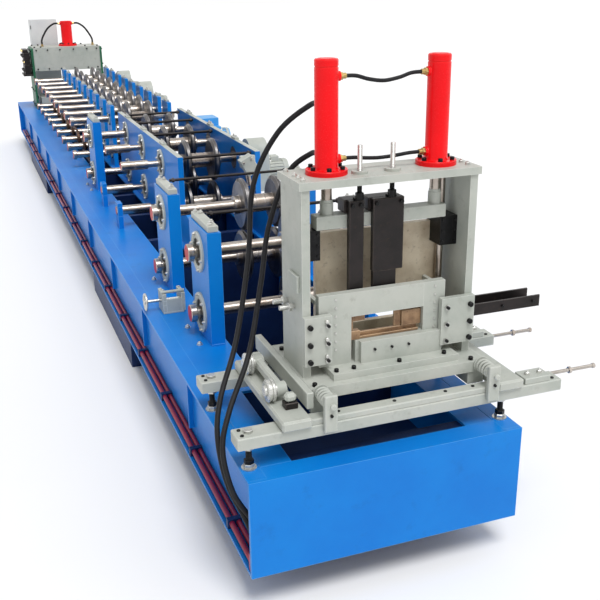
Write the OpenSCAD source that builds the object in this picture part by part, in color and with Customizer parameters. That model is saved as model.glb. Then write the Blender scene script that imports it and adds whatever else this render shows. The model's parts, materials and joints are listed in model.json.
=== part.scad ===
/* [Base frame] */
// Width of the base over its two channel beams
base_w = 1400; // [1300:10:1600]
// Length of the base from the front end plate to the back
base_len = 13600; // [13400:50:14200]
// Height of the two channel beams
beam_h = 500; // [420:10:560]
// Width of the beam flanges
flange_w = 90; // [70:5:110]
// Thickness of the beam flanges and webs
beam_t = 14; // [10:1:20]
// Height of the feet under the beams
foot_h = 200; // [150:10:260]
// Length of the near foot
near_foot_len = 1900; // [1500:50:2200]
// Distance from the front end plate to the middle of the near foot
near_foot_at = 3950; // [3600:50:4200]
// Length of the far foot
far_foot_len = 2500; // [2000:50:2700]
// Distance from the back end of the base to the middle of the far foot
far_foot_back = 3150; // [2900:10:3600]
// Spacing of the upright ribs on the beams
rib_pitch = 1330; // [1000:10:1500]

/* [Roll stations] */
// Height of the lower shafts above the top of the base
lower_z = 150; // [130:5:180]
// Distance between the lower and the upper shafts
shaft_gap = 386; // [380:1:400]
// Diameter of the roll shafts
shaft_d = 75; // [65:1:85]
// Diameter of the roll pairs at their working face
roll_d = 376; // [330:2:376]
// Distance from the centre line to the middle of the pass, across the machine
pass_x = 270; // [240:5:300]
// Width of the strip between its two bends
strip_w = 300; // [260:5:330]
// Diameter of the bearing bores in the stands
bearing_d = 200; // [180:2:220]
// Diameter of the round flanges on the bearings
ring_d = 290; // [260:2:300]

/* [Stands] */
// Height of the stands above the round flanges of the upper bearings
stand_rim = 19; // [15:1:60]
// Length of a left stand along the machine
stand_len = 420; // [400:5:460]
// Thickness of the left stands
stand_t = 85; // [70:5:100]
// Distance of the left stands' outer face from the centre line
stand_x = 440; // [420:5:460]
// Thickness of the long walls
wall_t = 45; // [35:1:60]
// Distance of the middle wall from the centre line, to the left
mid_wall_x = 70; // [60:5:80]
// Distance of the right wall from the centre line
right_wall_x = 590; // [580:5:620]

/* [Cutter] */
// Height of the cutter rails above the base
rail_lift = 120; // [100:5:140]
// Thickness of the cutter rails
rail_t = 60; // [50:1:70]
// Outer width of the cutter's portal
portal_w = 890; // [870:5:930]
// Depth of the portal along the machine
portal_d = 270; // [250:5:290]
// Thickness of the portal's side plates
portal_t = 40; // [35:1:50]
// Thickness of the plate on top of the portal
top_plate_t = 36; // [30:1:45]
// Height of the top of the portal above the base
portal_top = 1240; // [1220:5:1260]
// Diameter of the red cylinders
cyl_d = 108; // [100:1:116]
// Height of the red cylinders
cyl_h = 510; // [460:5:560]
// Stroke of the cutter's crosshead
stroke = 120; // [60:5:130]

/* [Hidden] */
$fn = 48;
gap = 0.3;
front_y = -near_foot_at;
deck_z = foot_h + beam_h;
half_w = base_w / 2;
web_x = half_w - flange_w;
low_z = deck_z + lower_z;
up_z = low_z + shaft_gap;
near_y = [1760, 2780];
wall_y = [4490, 5340, 6190];
live_y = concat(near_y, wall_y);
stand_h = lower_z + shaft_gap + ring_d / 2 + stand_rim;
punch_y = base_len - 1100;
far_foot_at = base_len - far_foot_back;
far_first = 7300;
far_pitch = 550;
far_count = floor((punch_y - 650 - far_first) / far_pitch) + 1;
far_y = [for (k = [0 : far_count - 1]) far_first + k * far_pitch];
stand_y = concat(near_y, [wall_y[2]]);
wall_from = 3840;
wall_to = 6650;
stand_in = stand_x - stand_t;
right_x = right_wall_x + wall_t;
end_t = 20;
run = 0.06;

blue = [0.08, 0.45, 0.82];
navy = [0.05, 0.12, 0.35];
paint = [0.74, 0.76, 0.72];
steel = [0.62, 0.6, 0.57];
dark_steel = [0.33, 0.32, 0.33];
black_steel = [0.12, 0.11, 0.12];
red = [0.86, 0.1, 0.13];
raw = [0.66, 0.58, 0.47];

// moves a piece measured from the front end plate to the near foot's frame
module from_front() { translate([0, front_y, 0]) children(); }

// a block from one corner with its three sizes
module block(corner, size) { translate(corner) cube(size); }

// a round bar along the width of the machine
module bar_x(x0, x1, y, z, d) {
  translate([x0, y, z]) rotate([0, 90, 0]) cylinder(h = x1 - x0, d = d);
}

// a round bar along the length of the machine
module bar_y(x, y0, y1, z, d) {
  translate([x, y0, z]) rotate([-90, 0, 0]) cylinder(h = y1 - y0, d = d);
}

rib_w = 45;
pipe_d = 28;
pipe_x = [half_w - 26, half_w - 62];
pipe_z = foot_h + beam_t + pipe_d / 2 + 14;
pipe_block_top = pipe_z + 60;
recess_w = flange_w - beam_t;
// one channel beam on the right, flanges outwards, with its ribs from a given height up
module channel_beam(rib_low) {
  beam_z = foot_h;
  block([web_x, end_t, beam_z], [beam_t, base_len - 2 * end_t, beam_h]);
  for (z = [beam_z, beam_z + beam_h - beam_t])
    block([web_x, end_t, z], [flange_w, base_len - 2 * end_t, beam_t]);
  for (y = [rib_pitch : rib_pitch : base_len - rib_pitch / 2])
    block([web_x, y, rib_low], [rib_w, beam_t, foot_h + beam_h - rib_low]);
}

module left_beam() { color(blue) from_front() mirror([1, 0, 0]) channel_beam(pipe_block_top); }
module right_beam() { color(blue) from_front() channel_beam(foot_h); }

module end_plates() {
  color(blue) from_front() {
    block([-half_w, 0, foot_h], [base_w, end_t, beam_h]);
    block([-half_w, base_len - end_t, foot_h], [base_w, end_t, beam_h]);
    block([-web_x, end_t, deck_z - beam_t], [2 * web_x, 100, beam_t]);
  }
}

deck_t = 16;
member_t = 60;
member_low = foot_h + 90;
far_deck_from = punch_y + 200;
member_y = concat([150, near_y[0] - 510, (near_y[0] + near_y[1] - member_t) / 2],
  [wall_from - 490, wall_from + 160, wall_to + 250],
  [for (k = [0, 1]) (wall_y[k] + wall_y[k + 1] - member_t) / 2],
  [for (k = [0 : 2 : far_count - 1]) far_first + (k + 0.5) * far_pitch - member_t / 2],
  [far_deck_from, base_len - 200]);
module cross_members() {
  color(navy) from_front() for (y = member_y)
    block([-web_x, y, member_low], [2 * web_x, member_t, deck_z - deck_t - member_low]);
}

deck_from = 900;
far_deck_to = base_len - end_t;
strip_end = far_deck_from - gap;
mid_deck_from = wall_from - 400;
left_deck_w = web_x - stand_in + 25;
module deck_plates() {
  color(blue) from_front() translate([0, 0, deck_z - deck_t]) {
    block([-web_x, deck_from, 0], [left_deck_w, strip_end - deck_from, deck_t]);
    block([-mid_wall_x - 40, mid_deck_from, 0], [wall_t + 60, strip_end - mid_deck_from, deck_t]);
    block([right_wall_x - 30, deck_from, 0], [web_x - right_wall_x + 30, strip_end - deck_from, deck_t]);
    block([-web_x, far_deck_from, 0], [2 * web_x, far_deck_to - far_deck_from, deck_t]);
  }
}

module base_feet() {
  color(navy) from_front() {
    block([-half_w, near_foot_at - near_foot_len / 2, 0], [base_w, near_foot_len, foot_h]);
    block([-half_w, far_foot_at - far_foot_len / 2, 0], [base_w, far_foot_len, foot_h]);
  }
}

pipe_from = 60;
pipe_to = base_len - 300;
module hydraulic_pipes() {
  color(red) from_front() {
    for (x = pipe_x) bar_y(-x, pipe_from, pipe_to, pipe_z, pipe_d);
    block([-half_w + 6, end_t, foot_h + beam_t], [recess_w - 6, pipe_from - end_t, pipe_block_top - foot_h - beam_t]);
  }
}

clamp_pitch = 760;
clamp_h = pipe_z + pipe_d / 2 + 8 - foot_h - beam_t;
module pipe_clamps() {
  color(paint) from_front() for (y = [400 : clamp_pitch : pipe_to - 200]) difference() {
    block([-half_w + 4, y, foot_h + beam_t], [recess_w - 4, 30, clamp_h]);
    for (x = pipe_x) bar_y(-x, y - 1, y + 31, pipe_z, pipe_d + 2 * gap);
  }
}

// a stand plate with its two bearing bores, from its outer face inwards
module stand_plate(x, y, len, t) {
  difference() {
    block([x, y - len / 2, deck_z], [t, len, stand_h]);
    for (z = [low_z, up_z]) bar_x(x - 1, x + t + 1, y, z, bearing_d);
  }
}
module left_stands() {
  color(blue) from_front() for (y = stand_y) stand_plate(-stand_x, y, stand_len, stand_t);
}

cap_h = 46;
post_len = 300;
module stand_caps() {
  color(paint) from_front() {
    for (y = stand_y) block([-stand_x - 12, y - stand_len / 2 + 10, deck_z + stand_h], [stand_t + 24, stand_len - 20, cap_h]);
    for (y = near_y) block([right_wall_x - 12, y - stand_len / 2 + 10, deck_z + stand_h], [wall_t + 24, stand_len - 20, cap_h]);
    for (y = concat(far_y, wall_y), x = [-mid_wall_x, right_wall_x])
      block([x - 14, y - post_len / 2 + 10, deck_z + stand_h], [wall_t + 28, post_len - 20, cap_h]);
  }
}

step_h = 300;
step_len = 380;
module wall_plate(x) {
  difference() {
    translate([x, 0, deck_z]) rotate([90, 0, 90]) linear_extrude(wall_t)
      polygon([[wall_from - step_len, 0], [wall_to, 0], [wall_to, stand_h], [wall_from, stand_h],
        [wall_from, step_h], [wall_from - step_len, step_h - 60]]);
    for (y = wall_y, z = [low_z, up_z]) bar_x(x - 1, x + wall_t + 1, y, z, bearing_d);
  }
}
module middle_wall() { color(blue) from_front() wall_plate(-mid_wall_x); }
module right_wall() {
  color(blue) from_front() {
    wall_plate(right_wall_x);
    for (y = near_y) stand_plate(right_wall_x, y, stand_len, wall_t);
  }
}

// a bearing unit: a round flange outside the plate and a bush in its bore
ring_t = 15;
module bearing_unit(t) {
  rotate([0, 90, 0]) rotate_extrude()
    polygon([[shaft_d / 2 + run, t * 0.35], [bearing_d / 2 - 14, t * 0.35], [bearing_d / 2 - 14, -ring_t],
      [ring_d / 2, -ring_t], [ring_d / 2, 0], [bearing_d / 2 - gap, 0], [bearing_d / 2 - gap, t], [shaft_d / 2 + run, t]]);
}
module bearing_rings() {
  color(paint) from_front() for (z = [low_z, up_z]) {
    for (y = stand_y) translate([-stand_x, y, z]) bearing_unit(stand_t);
    for (y = wall_y) translate([-mid_wall_x, y, z]) bearing_unit(wall_t);
    for (y = live_y) translate([right_x, y, z]) mirror([1, 0, 0]) bearing_unit(wall_t);
  }
}

// a turned shaft with all its steps, each as start, end and diameter
module turned(y, z, steps) {
  points = concat([[0, steps[0][0]]], [for (s = steps) each [[s[2] / 2, s[0]], [s[2] / 2, s[1]]]],
    [[0, steps[len(steps) - 1][1]]]);
  translate([0, y, z]) rotate([0, 90, 0]) rotate_extrude() polygon(points);
}
shaft_from = -stand_x - 75;
nut_d = 115;
nut_len = 50;
shaft_to = right_x + 60;
roll_w = 50;
roll_in = pass_x - strip_w / 2;
roll_out = pass_x + strip_w / 2;
hub_d = 130;
collar = 40;
// a shaft with its nut on the left and two rolls between collars
module roll_set(y, z) {
  color(steel) from_front() turned(y, z, [
    [shaft_from, shaft_from + nut_len, nut_d], [shaft_from + nut_len, roll_in - collar, shaft_d],
    [roll_in - collar, roll_in, hub_d], [roll_in, roll_in + roll_w, roll_d],
    [roll_in + roll_w, roll_out - roll_w, hub_d], [roll_out - roll_w, roll_out, roll_d],
    [roll_out, roll_out + collar, hub_d], [roll_out + collar, shaft_to, shaft_d]]);
}
module lower_roll_1() { roll_set(live_y[0], low_z); }
module upper_roll_1() { roll_set(live_y[0], up_z); }
module lower_roll_2() { roll_set(live_y[1], low_z); }
module upper_roll_2() { roll_set(live_y[1], up_z); }
module lower_roll_3() { roll_set(live_y[2], low_z); }
module upper_roll_3() { roll_set(live_y[2], up_z); }
module lower_roll_4() { roll_set(live_y[3], low_z); }
module upper_roll_4() { roll_set(live_y[3], up_z); }
module lower_roll_5() { roll_set(live_y[4], low_z); }
module upper_roll_5() { roll_set(live_y[4], up_z); }

module far_posts() {
  color(blue) from_front() for (x = [-mid_wall_x, right_wall_x], y = far_y) difference() {
    block([x, y - post_len / 2, deck_z], [wall_t, post_len, stand_h]);
    for (z = [low_z, up_z]) bar_x(x - 1, x + wall_t + 1, y, z, shaft_d + 2 * gap);
  }
}

module far_rolls() {
  for (y = far_y, z = [low_z, up_z]) roll_set(y, z);
}

rod_d = 20;
module tie_rods() {
  color(dark_steel) from_front() for (y = near_y)
    bar_x(-stand_in + 12, right_wall_x - 12, y + stand_len / 2 - 60, deck_z + stand_h + cap_h / 2, rod_d);
}

gear_x = right_x + 75;
gear_w = 170;
gear_len = 320;
motor_d = 180;
motor_len = 190;
module gear_unit(y) {
  translate([gear_x, y, up_z]) {
    bar_x(0, gear_w, 0, 0, gear_len);
    block([0, -gear_len / 2, -300], [gear_w, gear_len, 300]);
    block([gear_w, -110, -250], [24, 220, 220]);
    bar_x(gear_w + 24, gear_w + 24 + motor_len, 0, -140, motor_d);
    for (s = [-1, 1]) bar_x(right_x - gear_x, 0, s * 120, -220, 30);
  }
}
gear_y = concat([wall_y[0]], [for (k = [4 : 3 : far_count - 1]) far_y[k]]);
module gear_drives() { color(paint) from_front() for (y = gear_y) gear_unit(y); }
module pump_drive() {
  color([0.2, 0.62, 0.9]) from_front() translate([gear_x, wall_y[2], up_z]) {
    block([0, -210, -260], [190, 420, 300]);
    block([0, -120, 40], [190, 240, 80]);
    for (s = [-1, 1]) bar_x(right_x - gear_x, 0, s * 150, -200, 30);
    bar_x(190, 330, 0, -100, 170);
  }
}

chain_x = -330;
chain_w = 26;
sprocket_d = 190;
chain_t = 16;
chain_pairs = [0 : 2 : far_count - 2];
module chain_drives() {
  color([0.36, 0.24, 0.18]) from_front() for (k = chain_pairs) difference() {
    union() {
      for (j = [k, k + 1]) bar_x(chain_x, chain_x + chain_w, far_y[j], low_z, sprocket_d + 2 * chain_t);
      for (s = [-1, 1]) translate([chain_x, far_y[k], low_z + s * (sprocket_d + chain_t) / 2 - chain_t / 2])
        cube([chain_w, far_pitch, chain_t]);
    }
    for (j = [k, k + 1]) bar_x(chain_x - 1, chain_x + chain_w + 1, far_y[j], low_z, shaft_d + 2 * gap);
  }
}

wheel_y = 2270;
wheel_z = deck_z + 75;
wheel_d = 120;
wheel_x = -700;
spindle_d = 22;
bracket_x = -560;
bracket_t = 30;
spindle_to = -430;
module handwheel() {
  color(paint) from_front() translate([0, wheel_y, wheel_z]) {
    difference() {
      bar_x(wheel_x, wheel_x + 18, 0, 0, wheel_d);
      bar_x(wheel_x - 1, wheel_x + 19, 0, 0, wheel_d - 30);
    }
    for (a = [0, 120, 240]) rotate([a, 0, 0]) block([wheel_x + 4, -6, 0], [10, 12, wheel_d / 2 - 8]);
    bar_x(wheel_x, spindle_to, 0, 0, spindle_d);
  }
}
module handwheel_bracket() {
  color(paint) from_front() difference() {
    union() {
      for (x = [bracket_x, spindle_to - bracket_t - 10])
        block([x, wheel_y - 50, deck_z], [bracket_t, 100, 130]);
      block([bracket_x + bracket_t, wheel_y - 50, deck_z], [spindle_to - 10 - bracket_x - 2 * bracket_t, 100, 20]);
    }
    bar_x(bracket_x - 1, spindle_to + 1, wheel_y, wheel_z, spindle_d + 2 * run);
  }
}

punch_d = 600;
punch_left = -430;
punch_right = 650;
punch_top = deck_z + 990;
punch_low = deck_z + 620;
side_t = 32;
module punch_housing() {
  color(paint) from_front() {
    block([punch_left, punch_y, punch_low], [punch_right - punch_left, punch_d, punch_top - punch_low]);
    block([punch_left + 60, punch_y + 60, deck_z], [punch_right - punch_left - 120, punch_d - 120, 180]);
  }
}
module punch_side_plates() {
  color([0.15, 0.42, 0.28]) from_front() for (x = [punch_left - side_t, punch_right])
    block([x, punch_y - 10, deck_z], [side_t, punch_d + 20, punch_top - deck_z - 12]);
}
punch_cyl_x = 170;
punch_cyl_d = 180;
module punch_cylinder() {
  color(red) from_front() translate([punch_cyl_x, punch_y + punch_d / 2, punch_top]) {
    cylinder(h = 30, d = 300);
    cylinder(h = 400, d = punch_cyl_d);
    bar_x(-punch_cyl_d / 2 - 40, punch_cyl_d / 2 + 40, 0, 360, 44);
    for (x = [-420, 410]) translate([x, -20, 0]) cylinder(h = 40, d = 44);
  }
}
valve_x = punch_left - side_t - 150;
module valve_stack() {
  color(black_steel) from_front() {
    block([valve_x, punch_y + 60, deck_z + 540], [150, 420, 30]);
    for (k = [0 : 5]) block([valve_x, punch_y + 80 + 64 * k, deck_z + 570], [130, 50, 340]);
    block([valve_x + 20, punch_y + 100, deck_z + 910], [90, 340, 50]);
  }
}
cabinet_x = -380;
cabinet_size = [440, 300, 1400];
module rear_cabinet() {
  color([0.85, 0.86, 0.86]) from_front() block([cabinet_x, base_len - 400, deck_z], cabinet_size);
}

rail_y = [80, 700];
rail_w = 110;
rail_z = deck_z + rail_lift;
rail_left = -720;
rail_right = 970;
module cutter_rails() {
  color(paint) from_front() {
    for (y = rail_y) block([rail_left, y, rail_z], [rail_right - rail_left, rail_w, rail_t]);
    for (s = [-480, 540]) block([s, rail_y[0], rail_z + rail_t], [80, rail_y[1] + rail_w - rail_y[0], 70]);
    for (y = [rail_y[0] + 20, rail_y[1]]) block([-400, y, rail_z + rail_t], [940, 90, 70]);
  }
}
screw_x = half_w - 45;
module levelling_screws() {
  color(black_steel) from_front() for (x = [-screw_x, screw_x], y = rail_y) translate([x, y + rail_w / 2, deck_z]) {
    cylinder(h = rail_lift, d = 30);
    cylinder(h = 22, d = 50, $fn = 6);
    translate([0, 0, rail_lift - 24]) cylinder(h = 24, d = 50, $fn = 6);
  }
}

frame_z = rail_z + rail_t + 70;
slab_from = 230;
portal_y = 320;
portal_left = -320;
portal_right = portal_left + portal_w;
low_slab_t = 55;
up_slab_t = 35;
module cutter_frame() {
  color(paint) from_front() {
    block([-330, slab_from - 40, frame_z], [920, 560, low_slab_t]);
    block([-200, slab_from, frame_z + low_slab_t], [660, 470, up_slab_t]);
  }
}
slab_top = frame_z + low_slab_t + up_slab_t;
module cam_rollers() {
  color(paint) from_front() {
    block([-470, 300, frame_z], [30, 500, 40]);
    for (y = [380, 740]) translate([0, y, frame_z + 40 + 8]) {
      bar_x(-500, -440, 0, 0, 64);
    }
    block([-360, 150, frame_z], [30, 760, 90]);
  }
}

window_left = -70;
window_right = 310;
window_low = deck_z + 460;
window_high = deck_z + 620;
portal_low = frame_z + low_slab_t;
portal_high = deck_z + portal_top - top_plate_t;
module portal_sides() {
  color(paint) from_front() {
    for (x = [portal_left, portal_right - portal_t])
      block([x, portal_y, portal_low], [portal_t, portal_d, portal_high - portal_low]);
  }
}
cyl_y = portal_y + portal_d / 2;
cyl_x = [-145, 415];
stud_x = [-5, 160];
stud_at = portal_y + 78;
stud_d = 24;
post_d = 40;
post_x = [portal_left + portal_t + 25 + 20, portal_right - portal_t - 45];
piston_d = 50;
module portal_top_plate() {
  color(paint) from_front() difference() {
    union() {
      block([portal_left - 12, portal_y - 10, portal_high], [portal_w + 24, portal_d + 20, top_plate_t]);
      for (x = stud_x) translate([x, stud_at, portal_high + top_plate_t]) cylinder(h = 14, d = 76);
    }
    for (x = stud_x) translate([x, stud_at, portal_high - 1]) cylinder(h = top_plate_t + 17, d = stud_d + 2);
    for (x = cyl_x) translate([x, cyl_y, portal_high - 1]) cylinder(h = top_plate_t + 2, d = piston_d + 4);
  }
}
post_y = cyl_y + 60;
module guide_posts() {
  color(steel) from_front() for (x = post_x) translate([x, post_y, portal_low])
    cylinder(h = portal_high - portal_low, d = post_d);
}
flange_d = 195;
port_d = 34;
port_len = 40;
link_z = [64, 430];
long_z = [70, 290];
flange_t = 24;
module cutter_cylinders() {
  color(red) from_front() for (x = cyl_x) translate([x, cyl_y, portal_high + top_plate_t]) difference() {
    union() {
      cylinder(h = flange_t, d = flange_d);
      cylinder(h = cyl_h, d = cyl_d);
      for (z = link_z) bar_x(x == cyl_x[0] ? 0 : -cyl_d / 2 - port_len, x == cyl_x[0] ? cyl_d / 2 + port_len : 0, 0, z, port_d);
      if (x == cyl_x[0]) for (z = long_z) bar_y(0, 0, cyl_d / 2 + port_len, z, port_d);
    }
    translate([0, 0, -1]) cylinder(h = cyl_h * 0.6, d = piston_d + 4);
  }
}

beam_low = deck_z + 960;
beam_d = 80;
beam_hh = 90;
beam_y = cyl_y - 40;
bush_h = 150;
rod_len = portal_high + top_plate_t - beam_low - beam_hh + stroke + 110;
module crosshead() {
  color(paint) from_front() difference() {
    union() {
      block([post_x[0] - 40, beam_y, beam_low], [post_x[1] - post_x[0] + 80, beam_d, beam_hh]);
      for (x = cyl_x) translate([x, cyl_y, beam_low + beam_hh]) cylinder(h = 60, d = 62);
      for (x = cyl_x) translate([x, cyl_y, beam_low + beam_hh]) cylinder(h = rod_len, d = piston_d);
      for (x = post_x) block([x - 40, post_y - 50, beam_low - bush_h], [80, 100, bush_h + beam_hh]);
    }
    for (x = post_x) translate([x, post_y, beam_low - bush_h - 1])
      cylinder(h = bush_h + beam_hh + 2, d = post_d + 2 * run);
  }
}
tool_y = portal_y + 62;
tool_d = beam_y - tool_y;
module cutter_tools() {
  color(black_steel) from_front() {
    block([-46, tool_y, deck_z + 760], [82, tool_d, 405]);
    block([70, tool_y, deck_z + 830], [176, tool_d, 335]);
    block([90, tool_y, deck_z + 760], [100, tool_d, 80]);
    for (x = stud_x) translate([x, stud_at, deck_z + 1160])
      cylinder(h = portal_top - 1160 + stroke + 10, d = stud_d);
  }
}
die_t = 40;
die_left = -235;
die_right = 425;
die_low = slab_top;
die_high = deck_z + 696;
module die_plate() {
  color(paint) from_front() difference() {
    block([die_left, portal_y + 10, die_low], [die_right - die_left, die_t, die_high - die_low]);
    block([window_left, portal_y, window_low], [window_right - window_left, die_t + 20, window_high - window_low]);
    block([window_left, portal_y, die_low - 1], [22, die_t + 20, window_low - die_low + 2]);
  }
}
guard_t = 30;
module die_guards() {
  color(paint) from_front() {
    block([portal_left, portal_y - guard_t, deck_z + 372], [135, guard_t, 240]);
    block([portal_right - 180, portal_y - guard_t, deck_z + 372], [180, guard_t, 240]);
    block([-30, portal_y + 10 - guard_t, slab_top], [430, guard_t, 110]);
  }
}
module back_plate() {
  color(raw) from_front() difference() {
    block([-170, portal_y + portal_d - 60, slab_top], [595, 30, deck_z + 900 - slab_top]);
    block([window_left, portal_y + portal_d - 80, window_low], [window_right - window_left, 80, window_high - window_low]);
  }
}
spring_x = [-290, 560];
spring_d = 70;
spring_y0 = 130;
spring_y1 = slab_from - 40;
spring_z = frame_z + spring_d / 2 + 1;
module buffer_springs() {
  color(paint) from_front() for (x = spring_x) difference() {
    bar_y(x, spring_y0, spring_y1, spring_z, spring_d);
    bar_y(x, spring_y0 - 1, spring_y1 + 1, spring_z, spring_d - 30);
  }
}
module buffer_blocks() {
  color(paint) from_front() for (x = spring_x)
    block([x - 32, spring_y0 - 26, rail_z + rail_t + 70], [64, 26, 110]);
}
module strip_trough() {
  color(black_steel) from_front() translate([portal_right, portal_y + 40, deck_z + 470]) difference() {
    cube([430, 120, 60]);
    translate([20, 10, 10]) cube([411, 100, 51]);
  }
}
module adjusting_screws() {
  color(steel) from_front() {
    bar_x(rail_right - 20, 1270, rail_y[0] + rail_w + 20, rail_z + 30, 20);
    bar_x(rail_right, 1250, rail_y[1] + rail_w / 2, rail_z + 30, 20);
    block([rail_right - 60, rail_y[0] + rail_w, rail_z], [40, 40, rail_t]);
  }
}

// points of a smooth curve through the given points, with m steps to a span
function curve(p, m) = let (n = len(p)) concat([for (i = [0 : n - 2], j = [0 : m - 1])
  let (a = p[max(i - 1, 0)], b = p[i], c = p[i + 1], d = p[min(i + 2, n - 1)], t = j / m)
  ((2 * b) + (c - a) * t + (2 * a - 5 * b + 4 * c - d) * t * t + (3 * b - a - 3 * c + d) * t * t * t) / 2],
  [p[n - 1]]);
function unit(v) = v / norm(v);
hose_sides = 10;
// a round hose swept along a list of points, leaving along one direction and arriving along
// another; away is a direction it never runs in
module hose(points, d, away, leave, arrive, m = 3) {
  q = curve(points, m);
  n = len(q);
  rings = [for (i = [0 : n - 1])
    let (t = i == 0 ? leave : i == n - 1 ? arrive : unit(q[i + 1] - q[i - 1]))
    let (a = unit(cross(t, away)), b = cross(t, a))
    for (k = [0 : hose_sides - 1]) q[i] + d / 2 * (cos(360 * k / hose_sides) * a + sin(360 * k / hose_sides) * b)];
  faces = concat([[for (k = [hose_sides - 1 : -1 : 0]) k]],
    [for (i = [0 : n - 2], k = [0 : hose_sides - 1]) let (k2 = (k + 1) % hose_sides)
      [i * hose_sides + k, i * hose_sides + k2, (i + 1) * hose_sides + k2, (i + 1) * hose_sides + k]],
    [[for (k = [0 : hose_sides - 1]) (n - 1) * hose_sides + k]]);
  polyhedron(rings, faces);
}
right_dir = [1, 0, 0];
back_dir = [0, 1, 0];
up_dir = [0, 0, 1];
down_dir = [0, 0, -1];
side_dir = [1, 0.3, 0];
hose_d = 26;
link_hose_d = 18;
punch_hose_d = 30;
left_hose_route = [[-145, 549, 2230], [-150, 640, 2225], [-280, 735, 2090], [-400, 755, 1850], [-455, 700, 1500],
  [-570, 560, 1150], [-705, 400, 930], [-752, 300, 780], [-742, 200, 600], [-695, 95, 470], [-672, 44, 390],
  [-672, 42, 302]];
second_hose_route = [[-145, 549, 2010], [-155, 630, 2000], [-250, 690, 1900], [-350, 690, 1650], [-415, 630, 1400],
  [-530, 490, 1100], [-680, 330, 905], [-748, 235, 760], [-735, 140, 590], [-672, 70, 470], [-641, 46, 390],
  [-641, 42, 302]];
upper_link_route = [[-51, 455, 2370], [0, 455, 2367], [60, 455, 2350], [135, 455, 2340], [210, 455, 2350],
  [270, 455, 2367], [321, 455, 2370]];
lower_link_route = [[-51, 455, 2004], [0, 458, 2002], [60, 475, 1992], [135, 485, 1986], [210, 475, 1992],
  [270, 458, 2002], [321, 455, 2004]];
punch_left_route = [[40, 12800, 2050], [-30, 12800, 2046], [-130, 12795, 1980], [-210, 12788, 1870], [-248, 12781, 1790],
  [-250, 12780, 1730]];
punch_right_route = [[300, 12800, 2050], [370, 12800, 2046], [465, 12795, 1980], [540, 12788, 1870], [578, 12781, 1790],
  [580, 12780, 1730]];
module left_hose() { color(black_steel) from_front() hose(left_hose_route, hose_d, side_dir, back_dir, down_dir); }
module second_hose() { color(black_steel) from_front() hose(second_hose_route, hose_d, side_dir, back_dir, down_dir); }
module upper_link_hose() { color(black_steel) from_front() hose(upper_link_route, link_hose_d, up_dir, right_dir, right_dir, 2); }
module lower_link_hose() { color(black_steel) from_front() hose(lower_link_route, link_hose_d, up_dir, right_dir, right_dir, 2); }
module punch_hose_left() { color(black_steel) from_front() hose(punch_left_route, punch_hose_d, back_dir, -right_dir, down_dir, 2); }
module punch_hose_right() { color(black_steel) from_front() hose(punch_right_route, punch_hose_d, back_dir, right_dir, down_dir, 2); }

left_beam();
right_beam();
end_plates();
cross_members();
deck_plates();
base_feet();
hydraulic_pipes();
pipe_clamps();
left_stands();
stand_caps();
middle_wall();
right_wall();
bearing_rings();
far_posts();
far_rolls();
tie_rods();
lower_roll_1();
upper_roll_1();
lower_roll_2();
upper_roll_2();
lower_roll_3();
upper_roll_3();
lower_roll_4();
upper_roll_4();
lower_roll_5();
upper_roll_5();
gear_drives();
pump_drive();
chain_drives();
handwheel();
handwheel_bracket();
punch_housing();
punch_side_plates();
punch_cylinder();
valve_stack();
rear_cabinet();
cutter_rails();
levelling_screws();
cutter_frame();
cam_rollers();
portal_sides();
portal_top_plate();
guide_posts();
cutter_cylinders();
crosshead();
cutter_tools();
die_plate();
die_guards();
back_plate();
buffer_springs();
buffer_blocks();
strip_trough();
adjusting_screws();
left_hose();
second_hose();
upper_link_hose();
lower_link_hose();
punch_hose_left();
punch_hose_right();
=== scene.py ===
# %% [markdown]
# # A roll forming machine
# A long blue base carries stands with roll shafts, a punching unit at the far end and a hydraulic
# cutter at the near end. The imported model already has every main form in its place, in metres.
# This script adds what a workshop would: bolts, springs, threads, fins, hoses and the finish of
# each surface. The first cell loads the imported model.

# %% Load the imported machine
import json
from math import pi, sin, cos, radians, sqrt

import bmesh
import bpy
from mathutils import Matrix, Vector


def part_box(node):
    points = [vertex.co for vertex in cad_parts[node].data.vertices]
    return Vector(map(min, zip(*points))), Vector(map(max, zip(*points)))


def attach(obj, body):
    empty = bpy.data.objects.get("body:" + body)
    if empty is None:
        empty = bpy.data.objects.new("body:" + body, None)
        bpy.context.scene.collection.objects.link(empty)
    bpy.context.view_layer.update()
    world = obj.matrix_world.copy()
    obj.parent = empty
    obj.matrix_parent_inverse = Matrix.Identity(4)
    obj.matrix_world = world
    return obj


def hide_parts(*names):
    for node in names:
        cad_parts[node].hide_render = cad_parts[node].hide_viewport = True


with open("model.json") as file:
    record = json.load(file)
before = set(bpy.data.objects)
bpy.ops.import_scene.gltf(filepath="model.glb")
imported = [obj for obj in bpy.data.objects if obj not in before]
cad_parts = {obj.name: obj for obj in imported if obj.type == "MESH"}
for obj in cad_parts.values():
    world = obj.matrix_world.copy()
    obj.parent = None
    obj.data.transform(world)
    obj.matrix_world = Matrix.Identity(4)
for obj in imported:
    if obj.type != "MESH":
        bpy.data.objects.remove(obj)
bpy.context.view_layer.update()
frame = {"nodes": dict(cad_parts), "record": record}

# %% [markdown]
# ## The camera
# The place and the turn of the camera come from the parallel edges of the base and the cutter,
# which run to three vanishing points. Such a camera needs no trial and error: its three axes are
# written down as the columns of a matrix, and the focal length follows from the same points.

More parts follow.
